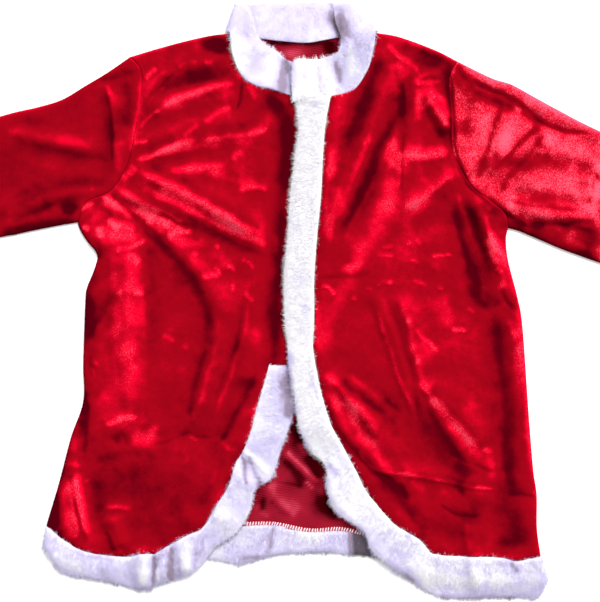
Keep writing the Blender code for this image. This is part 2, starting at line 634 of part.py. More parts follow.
def collar_band():
    """The stand collar, flattened: its front part lies on its back part, with a fold at each side,
    and its left end lies on its right end."""
    section = np.array([
        (0, -0.3), (0, 0.3), (0.1, 0.5), (0.5, 0.5), (0.9, 0.5), (1, 0.25), (1, -0.25), (0.9, -0.5),
        (0.5, -0.5), (0.1, -0.5),
    ])
    share, across = section[:, 0][None, :, None], section[:, 1][None, :]

    def flat(sewn, rim, under, thickness, facing):
        """Rings of a part that lies flat and faces up (1) or down (-1)."""
        toward = (rim - sewn) / np.linalg.norm(rim - sewn, axis=1)[:, None]
        sewn = sewn + toward * SEAM_GAP / 2
        xy = sewn[:, None] * (1 - share) + rim[:, None] * share
        thick = thickness(xy)
        return np.dstack([xy, under(xy) + thick / 2 + facing * across * thick])

    def wrap(sewn, rim, outward, angles):
        """Rings round a fold, whose axis runs from the seam to the rim."""
        toward = (rim - sewn) / np.linalg.norm(rim - sewn)
        axis = (sewn + toward * SEAM_GAP / 2) * (1 - share) + rim * share
        middle = (ON_BACK_COLLAR + COLLAR_PLUSH) / 2
        radius = ON_BACK_COLLAR / 2 + across * COLLAR_PLUSH
        sideways = radius * np.cos(angles)[:, None]
        upward = middle + radius * np.sin(angles)[:, None]
        return np.dstack([axis + sideways[..., None] * np.array(outward), upward])

    def under_front(xy):
        x, y = xy[..., 0], xy[..., 1]
        neck_y = np.interp(x, [s.x for s in SEAMS["neck_back"]], [s.y for s in SEAMS["neck_back"]])
        return ON_BACK_COLLAR + (ON_BACK - ON_BACK_COLLAR) * below(ONTO_BACK_COLLAR, y - neck_y)

    def under_left_end(xy):
        on_right_end = COLLAR_PLUSH * PRESSED_SHARE + SEAM_GAP
        return under_front(xy) + on_right_end * below(COLLAR_LEFT_END, xy[..., 0])

    def thick(xy):
        return np.full(xy.shape[:-1], COLLAR_PLUSH)

    def thick_right_end(xy):
        end = 1 - below(COLLAR_RIGHT_END, xy[..., 0])
        return COLLAR_PLUSH * (1 - (1 - PRESSED_SHARE) * end)

    right = joined(
        seam("neck_right_underlap", STEPS["underlap_end"]), seam("neck_right", STEPS["neck"])
    )
    left = joined(
        seam("neck_left", STEPS["neck"])[::-1], seam("collar_on_band", STEPS["collar_on_band"])
    )
    back = seam("neck_back", STEPS["neck_back"])
    rim_right, rim_left = seam("rim_right", len(right) - 1), seam("rim_left", len(left) - 1)
    rim_back = seam("rim_back", STEPS["neck_back"])
    turn = np.linspace(np.pi / 2, -np.pi / 2, WRAP_STEPS + 1)[1:-1]

    def outward(sewn, rim, sign):
        run = (rim - sewn) / np.linalg.norm(rim - sewn)
        return sign * np.array([-run[1], run[0]])

    rings = np.vstack([
        flat(right, rim_right, under_front, thick_right_end, 1),
        wrap(right[-1], rim_right[-1], outward(right[-1], rim_right[-1], 1), turn),
        flat(back, rim_back, lambda xy: np.zeros(xy.shape[:-1]), thick, -1),
        wrap(back[-1], rim_back[-1], outward(back[-1], rim_back[-1], -1), turn[::-1]),
        flat(left, rim_left, under_left_end, thick, 1),
    ])
    return bar("collar_band", "plush", rings)


# ---------------------------------------------------------------- objects
def material(name, finish):
    made = bpy.data.materials.new(name)
    made.use_nodes = True
    shader = made.node_tree.nodes["Principled BSDF"]
    shader.inputs["Base Color"].default_value = (*COLOURS[finish], 1)
    shader.inputs["Roughness"].default_value = ROUGHNESS[finish]
    shader.inputs["Metallic"].default_value = 0
    return made


def make_object(piece, middle):
    mesh = bpy.data.meshes.new(piece.name)
    mesh.from_pydata(((piece.vertices - middle) * MM).tolist(), [], piece.triangles.tolist())
    mesh.materials.append(material(piece.name, piece.finish))
    mesh.shade_smooth()
    mesh.set_sharp_from_angle(angle=np.radians(SMOOTH_ANGLE))
    bpy.context.scene.collection.objects.link(bpy.data.objects.new(piece.name, mesh))


def main():
    for obj in list(bpy.data.objects):
        bpy.data.objects.remove(obj, do_unlink=True)
    pieces = [
        back_panel(), back_trim(), front_panel_right(), front_trim_right(), front_panel_left(),
        front_trim_left(), sleeve("right"), sleeve("left"), collar_band(),
    ]
    everything = np.vstack([piece.vertices for piece in pieces])
    middle = (everything.min(axis=0) + everything.max(axis=0)) / 2
    middle[2] = 0
    for piece in pieces:
        make_object(piece, middle)


main()
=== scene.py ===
import bpy
import numpy as np
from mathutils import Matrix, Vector


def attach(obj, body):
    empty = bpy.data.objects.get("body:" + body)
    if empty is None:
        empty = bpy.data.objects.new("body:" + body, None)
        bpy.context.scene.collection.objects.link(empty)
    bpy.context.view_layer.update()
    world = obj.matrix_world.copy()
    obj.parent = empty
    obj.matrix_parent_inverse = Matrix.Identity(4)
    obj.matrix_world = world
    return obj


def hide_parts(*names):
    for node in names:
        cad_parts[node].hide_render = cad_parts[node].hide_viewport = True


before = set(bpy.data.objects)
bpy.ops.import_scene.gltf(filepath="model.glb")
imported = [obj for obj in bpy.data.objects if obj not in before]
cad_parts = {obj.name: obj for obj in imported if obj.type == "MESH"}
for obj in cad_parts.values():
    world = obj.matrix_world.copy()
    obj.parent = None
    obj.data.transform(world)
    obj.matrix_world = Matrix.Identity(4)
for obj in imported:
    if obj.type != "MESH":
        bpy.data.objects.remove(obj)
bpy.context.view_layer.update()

# A velvet jacket laid flat. The pattern's tables are in millimetres, with its middle over the
# frame's origin, and right and left are the wearer's. Meshes are in metres.
mm = 0.001
patternMiddle = np.array([-19.504, 0.15])

cloth = {
    "thick": 1.6,  # velvet with its pile
    "plush": 7.0,  # a doubled plush band with its pile
    "collarPlush": 5.6,
    "layerGap": 0.3,
    "loft": 3.0,  # the upper layer stands this far off the lower one,
    "loftWidth": 15.0,  # rising to it over this width,
    "seamRise": 0.8,  # and only this far at a seam
    "pressedShare": 0.55,  # what a band keeps of its thickness where it is pressed
    "foldAtEdge": 0.25,  # what a fold keeps of its height at the outline
    "finest": ((17, 3, 0.35), (7.5, 4, 0.22)),  # random unevenness: size, seed and height
}

# Heights at which a layer lies on another.
onBack = 2.1
overBackBand = 1.0  # gap under what lies on the back's band
onRightFront = 2.1
onRightBand = cloth["plush"] * cloth["pressedShare"] + 2 * cloth["layerGap"]
onBackCollar = cloth["collarPlush"] + 1.0

# Ramps: where a smooth change starts, and how far down it runs.
ramps = {
    "ontoBackBand": (84, 80), "offBackBand": (-3, 30),
    "panelPressed": (44, 24), "bandPressed": (23, 14), "pressingEnds": (-165, 40),
    "ontoRightBand": (-60, 20), "offRightBand": (-170, 45), "besideLeftBand": (26, 24),
    "ontoBackCollar": (-2, 55), "collarLeftEnd": (36, 22), "collarRightEnd": (-14, 20),
    "fullToTheRight": (135, 45), "fullToTheLeft": (105, 40),  # of the back's band, along -x and x
}

seams = {
    "sideRight": [
        (-354, -313), (-337, -255), (-320, -190), (-303, -140), (-303, -85), (-300, 0), (-298, 18),
        (-290, 38), (-285, 52), (-283, 62), (-287, 71), (-295, 80), (-304, 93), (-309, 103), (-311, 110),
    ],
    "sideLeft": [
        (336, -356), (331, -318), (331, -272), (326, -235), (320, -165), (311, -38), (304, 5), (291, 56),
        (288, 86), (291, 102),
    ],
    "armholeRight": [
        (-311, 110), (-298, 138), (-265, 153), (-242, 188), (-230, 240), (-221, 300), (-224, 325),
        (-238, 341),
    ],
    "armholeLeft": [
        (291, 102), (286, 122), (267, 139), (241, 158), (223, 188), (213, 214), (211, 262), (209, 311),
        (220, 335),
    ],
    "shoulderRight": [(-98, 374), (-125, 371), (-165, 362), (-205, 351), (-238, 341)],
    "shoulderLeft": [(106, 375), (139, 369), (188, 351), (220, 335)],
    "neckRightUnderlap": [(7, 285), (-11, 287), (-43, 297)],
    "neckRight": [(-43, 297), (-62, 301), (-80, 313), (-90, 331), (-96, 352), (-98, 374)],
    "neckLeft": [(43, 286), (62, 290), (79, 298), (95, 323), (102, 350), (106, 375)],
    "neckBack": [(-98, 374), (-58, 367), (3, 361), (30, 364), (58, 369), (106, 375)],
    "underlapEdge": [(7, -89), (7, 285)],
    "underlapLine": [(-43, -90), (-43, 297)],
    "underlapEnd": [(-43, -90), (7, -89)],
    "sleeveTopRight": [
        (-238, 341), (-270, 319), (-300, 301), (-332, 282), (-367, 271), (-420, 258), (-560, 213),
        (-700, 170), (-820, 132),
    ],
    "sleeveUnderRight": [
        (-311, 110), (-340, 105), (-380, 97), (-402, 92), (-420, 89), (-560, 61), (-680, 35), (-781, 11),
    ],
    "cuffRight": [(-781, 11), (-820, 132)],
    "sleeveTopLeft": [
        (220, 335), (267, 312), (295, 303), (321, 289), (361, 267), (420, 237), (550, 180), (680, 121),
        (781, 74),
    ],
    "sleeveUnderLeft": [
        (291, 102), (308, 97), (341, 83), (367, 72), (392, 63), (420, 53), (530, 15), (640, -17),
        (728, -43),
    ],
    "cuffLeft": [(728, -43), (781, 74)],
    "rimRight": [
        (2, 331), (-17, 335), (-33, 348), (-47, 357), (-58, 368), (-66, 392), (-71, 407), (-85, 413),
    ],
    "rimBack": [(-85, 413), (-40, 416), (20, 417), (60, 417), (85, 412)],
    "rimLeft": [
        (85, 412), (62, 413), (49, 404), (50, 387), (57, 368), (53, 347), (38, 340), (21, 336), (-2, 337),
        (-11, 331),
    ],
    "collarOnBand": [(43, 286), (18, 284), (-11, 281)],
}

# Bands of plush: sewn x, sewn y, free x, free y at each place along them.
bands = {
    "rightFront": [
        (-43, -90, 7, -89), (-53, -123, -1, -130), (-63, -158, -12, -170), (-69, -183, -24, -203),
        (-80, -210, -33, -234), (-90, -226, -42, -251), (-97, -250, -62, -263), (-104, -266, -67, -288),
        (-114, -281, -79, -312), (-125, -300, -95, -330), (-138, -318, -117, -343),
        (-158, -327, -138, -370), (-183, -341, -163, -387), (-204, -353, -190, -394),
    ],
    "rightHem": [
        (-204, -353, -190, -394), (-221, -352, -220, -406), (-245, -357, -250, -398),
        (-298, -350, -292, -389), (-329, -334, -333, -380), (-354, -313, -358, -343),
    ],
    "leftFront": [
        (43, 286, -8, 281), (36, 248, -4, 240), (32, 200, -9, 200), (29, 140, -16, 140), (24, 91, -19, 91),
        (20, 31, -24, 35), (20, -28, -23, -28), (18, -60, -19, -62), (22, -91, -17, -93),
        (31, -133, -9, -138), (43, -172, -2, -180), (62, -207, 14, -211), (71, -224, 29, -223),
        (80, -240, 36, -238), (89, -260, 36, -263), (101, -277, 50, -295), (130, -310, 87, -321),
        (149, -322, 98, -348), (167, -333, 128, -374), (183, -352, 172, -405),
    ],
    "leftHem": [
        (183, -352, 172, -405), (203, -355, 200, -416), (236, -356, 244, -417), (280, -358, 291, -416),
        (300, -363, 311, -415), (318, -360, 334, -415), (336, -356, 347, -391),
    ],
    "back": [
        (-354, -313, -356, -345), (-294, -319, -294, -368), (-210, -319, -210, -372),
        (-140, -315, -132, -363), (-77, -309, -84, -369), (-35, -309, -42, -358), (14, -318, 4, -353),
        (56, -316, 50, -354), (92, -323, 94, -358), (168, -334, 175, -372), (252, -343, 256, -384),
        (336, -356, 346, -386),
    ],
}

# Folds: x0, y0, x1, y1, bow, width on the left, width on the right, rise. A trough's rise is below 0.
foldsRight = [
    (-118, 360, -222, 262, -8, 26, 12, 5.0), (-226, 246, -84, 303, 14, 14, 22, 5.5),
    (-234, 208, -50, 244, 12, 14, 22, 6.0), (-243, 184, -28, 72, 8, 20, 13, 10.5),
    (-262, 150, -118, 96, 8, 13, 10, 7.5), (-258, 140, -112, -22, 6, 16, 14, -2.6),
    (-212, 96, -88, -42, 8, 18, 18, 6.0), (-272, 100, -236, -20, 8, 18, 20, 6.5),
    (-240, 10, -240, -195, 6, 26, 22, 7.0), (-281, 20, -268, -165, 6, 12, 12, -2.4),
    (-318, -215, -300, -342, 0, 10, 12, 6.0), (-104, -25, -140, -178, 4, 16, 14, 5.5),
    (-68, -25, -108, -195, 4, 14, 14, 5.0), (-262, -296, -246, -352, 0, 10, 12, 5.0),
    (-280, -198, -98, -195, 6, 12, 14, -2.2),
    (-221, -338, -221, -410, 0, 13, 10, 6.0), (-197, -340, -183, -396, 0, 9, 9, 4.0),
    (-172, -326, -153, -390, 0, 10, 10, 5.0), (-104, -238, -56, -266, 4, 11, 11, 5.0),
    (-118, -290, -88, -318, 0, 10, 12, 3.5),
    (-272, 307, -264, 172, 8, 11, 9, 4.5), (-425, 234, -268, 200, 3, 14, 14, 3.5),
    (-440, 120, -285, 152, 6, 14, 12, 4.0), (-520, 216, -500, 84, 8, 13, 16, 4.5),
    (-566, 204, -610, 66, -8, 16, 13, 4.5), (-640, 170, -755, 72, 4, 14, 16, 4.0),
]
foldsLeft = [
    (120, 362, 36, 52, -12, 15, 16, 9.0), (141, 300, 44, 62, -6, 12, 12, -2.6),
    (156, 340, 143, 160, 0, 14, 14, 5.0), (166, 298, 212, 222, 4, 13, 11, 7.5),
    (224, 182, 136, 122, -4, 13, 14, 6.0), (214, 160, 262, -5, 8, 13, 13, -2.6),
    (232, 158, 284, 10, 8, 12, 13, 8.0), (300, 30, 322, -262, 6, 14, 12, 5.0),
    (281, -25, 287, -305, 3, 12, 12, -2.6), (100, 20, 162, -175, 8, 12, 12, 6.0),
    (140, 20, 170, -120, 4, 13, 13, 6.0), (166, -108, 270, -218, 8, 18, 12, 7.5),
    (29, -100, 122, -210, 10, 18, 12, 9.0), (44, -134, 164, -294, 6, 12, 12, -2.6),
    (98, -233, 282, -261, 4, 10, 10, 3.5), (232, -300, 247, -414, 0, 11, 12, 4.5),
    (233, 303, 420, 222, -4, 11, 11, -2.4), (295, 268, 258, 162, 3, 13, 10, 4.5),
    (352, 240, 300, 146, 4, 12, 10, 5.0), (270, 134, 425, 96, 10, 13, 12, 4.5),
    (420, 196, 404, 128, 2, 12, 12, 4.0), (500, 172, 460, 60, 6, 13, 15, 4.5),
    (552, 152, 596, 26, -6, 15, 13, 4.5), (628, 118, 712, 8, 4, 15, 13, 4.0),
]
# Shade in the folds of the plush bands: width, or widths on the left and on the right, depth, shade,
# x and y of its start, and the step to each next place. The shade runs from 0, white, over 1, grey,
# to 2, dark.
shadePlush = [
    ((8.4, 15.4), -0.5, 0.66, -14, -60, -4, -59, 5, -59), (11.2, 0, 0.12, -34, -80, -5, -47, -14, -54),
    ((3.5, 4.9), 1.6, -0.2, -8, 280, 25, 0, 25, 3), ((7, 5.6), -0.5, 0.35, -78, -211, 25, 7, 28, 15),
    ((3.1, 2.5), -2.8, 1, -82, -209, 4, -22, 7, -31), ((2.5, 4.8), -2.8, 1, -74, -216, 10, -21, 12, -26),
    ((4.2, 3.5), 2.2, -0.45, -78, -209, 16, -14, 23, -18), (3.5, -1, 0.5, -98, -259, 1, -11, 7, -9),
    (7, -0.5, 0.3, -94, -277, 13, -9, 7, 10), ((9.8, 7), -0.3, 0.2, -120, -307, 2, -21, -8, -18),
    (4.2, -0.7, 0.35, -132, -321, -4, -21, -4, -21), (3.5, -1, 0.45, -144, -342, -2, -21, -4, -21),
    (7, 1, -0.4, -157, -329, -1, -22, -2, -28), ((5, 4.2), -2.4, 0.95, -178, -339, -3, -26, 3, -34),
    (4.2, -0.8, 0.45, -171, -357, 2, -14, 2, -17), (4.2, -0.9, 0.4, -188, -335, -4, -16, -4, -14),
    (3.1, 1, -0.5, -196, -363, -3, -14, 4, -16), ((3.9, 3.5), -1.8, 0.85, -202, -351, -2, -23, 2, -25),
    (7, 1, -0.4, -216, -353, 0, -24, -2, -22), (9.8, -0.5, 0.25, -232, -363, -6, -19, 8, -20),
    ((11.2, 9.8), -0.3, 0.25, -287, -371, 18, -11, 20, -3), (8.4, 0, -0.2, -336, -357, 17, -8, 17, -3),
    ((3.5, 4.2), -0.5, 0.3, -319, -347, 25, -9, 39, -2), (4.2, 0, 0.3, -336, -382, 49, -14, 49, -9),
    ((5.6, 7), -0.3, 0.35, 8, 1, -7, -35, -1, -28), ((3.5, 2.8), -0.6, 0.3, 11, -108, 10, -19, 7, -20),
    (4.2, -0.4, 0.35, 15, 265, 13, 11), (4.2, 0, 0.4, -7, -174, 11, -21, 13, -16),
    (4.2, -0.7, 0.35, 34, -225, 8, -12, 14, -5), ((4.9, 4.2), -0.3, 0.4, 38, -242, -6, -23, 10, -19),
    ((5.6, 7), -0.3, 0.35, 46, -290, 17, -11, 10, -11), (7, -0.4, 0.2, 48, -256, 11, -9, 5, -16),
    ((3.5, 4.2), -0.4, 0.3, 87, -326, 5, -17, 9, -17), ((9.8, 11.2), -0.5, 0.2, 123, -335, 11, -16, 3, -23),
    ((4.2, 5.6), 0, 0.35, 118, -357, 22, -20, 22, -19), ((7, 5.6), -0.6, 0.3, 146, -371, 8, -17, 6, -17),
    ((7, 5.6), 0.8, -0.4, 174, -365, 1, -17, -1, -20), (4.2, 0.8, -0.35, 238, -365, 6, -20, 2, -20),
    ((7, 4.2), -0.5, 0.25, 255, -363, 7, -22, -6, -20), (11.2, -0.3, 0.2, 287, -370, 14, -14, 7, -18),
    (3.5, 0, 0.3, 182, -409, 56, -4, 84, 3), ((2.5, 4.5), -1.4, 0.6, -35, -312, -4, -23, -9, -25),
    (5.6, -0.3, 0.4, -64, -346, 11, 9, 10, 14), (5.6, 0.3, -0.25, -17, -323, 31, -6, 28, 3),
    ((8.4, 12.6), -0.4, 0.75, 76, -304, 5, -38, 11, -37), (5.6, 0, 0.2, -105, -346, 35, -14, 17, 7),
    (7, 0, -0.2, -119, -342, 18, -9), (4.9, 0, 0.45, -98, -364, 45, 7, 53, 4, 63, 2),
    ((7, 8.4), 0, 0.35, -22, -99, 7, -28, 0, -40), (5.6, -0.6, 0.7, 291, -360, 7, -11, 10, -11),
    (4.9, -0.4, 0.4, 39, -223, 4, -14, 16, -8), (9.8, 0, -0.35, -8, 15, 4, -77, 4, -70, 20, -51),
    (7, 0, 0.45, -210, -349, 22, 5), (8.4, 0, -0.3, 154, -382, 84, -6, 84, 6),
    (4.2, 0, 0.3, -336, -371, 42, -20, 70, -11, 42, 11), (4.2, 0, 0.45, 133, -399, 35, -15, 84, -5, 77, 6),
]
shadeCollar = [
    ((4.2, 14), -0.6, 0.5, 45, 417, -2, -21, 3, -22), ((8.4, 7), -0.4, 0.6, 55, 417, 0, -26, 2, -26),
    ((2.2, 2), -1.2, 0.55, 44, 419, -1, -23, 3, -25), ((19.6, 16.8), 0, 0.25, -17, 402, 24, -9, 28, -5),
    (9.8, 0, 0.3, 73, 382, 8, -19, 3, -26), ((7, 8.4), 0, 0.25, 92, 360, 0, -17, -5, -20),
    ((7, 4.2), 0, 0.3, -95, 393, -4, -25, 2, -19), ((12.6, 7), -0.4, 0.4, -67, 354, 5, -22, 9, -25),
    (5.6, 0.4, -0.15, -45, 340, 11, -14, 9, -11), ((4.2, 7), 0, 0.4, -76, 304, 23, -6, 31, -10),
    ((4.2, 3.5), -0.8, 0.5, -36, 309, 11, 10, 12, 11), ((6.3, 11.2), -0.8, 1, -17, 346, -5, -42, 0, -45),
    ((7, 8.4), 0.3, -0.35, -91, 385, -3, -34, 18, -36), (11.2, 0, -0.35, 70, 419, 17, -17, 17, -23),
    ((7, 4.9), -1.6, 0.95, 50, 337, 2, -19, 5, -23), (3.1, -0.6, 0.45, 67, 360, -4, -9, -3, -11),
    (4.9, 0.9, -0.3, 70, 363, 3, -26, -3, -28), ((5.6, 4.9), -0.3, 0.4, 24, 332, 3, -23, 2, -22),
    (3.5, -0.3, 0.25, 8, 329, 2, -28), (4.2, 0, 0.3, 45, 293, 18, 0, 15, 8),
    (8.4, -0.3, 0.7, 56, 402, 1, -25, 9, -26), ((9.8, 8.4), 0, 0.45, -28, 318, 1, -31),
]
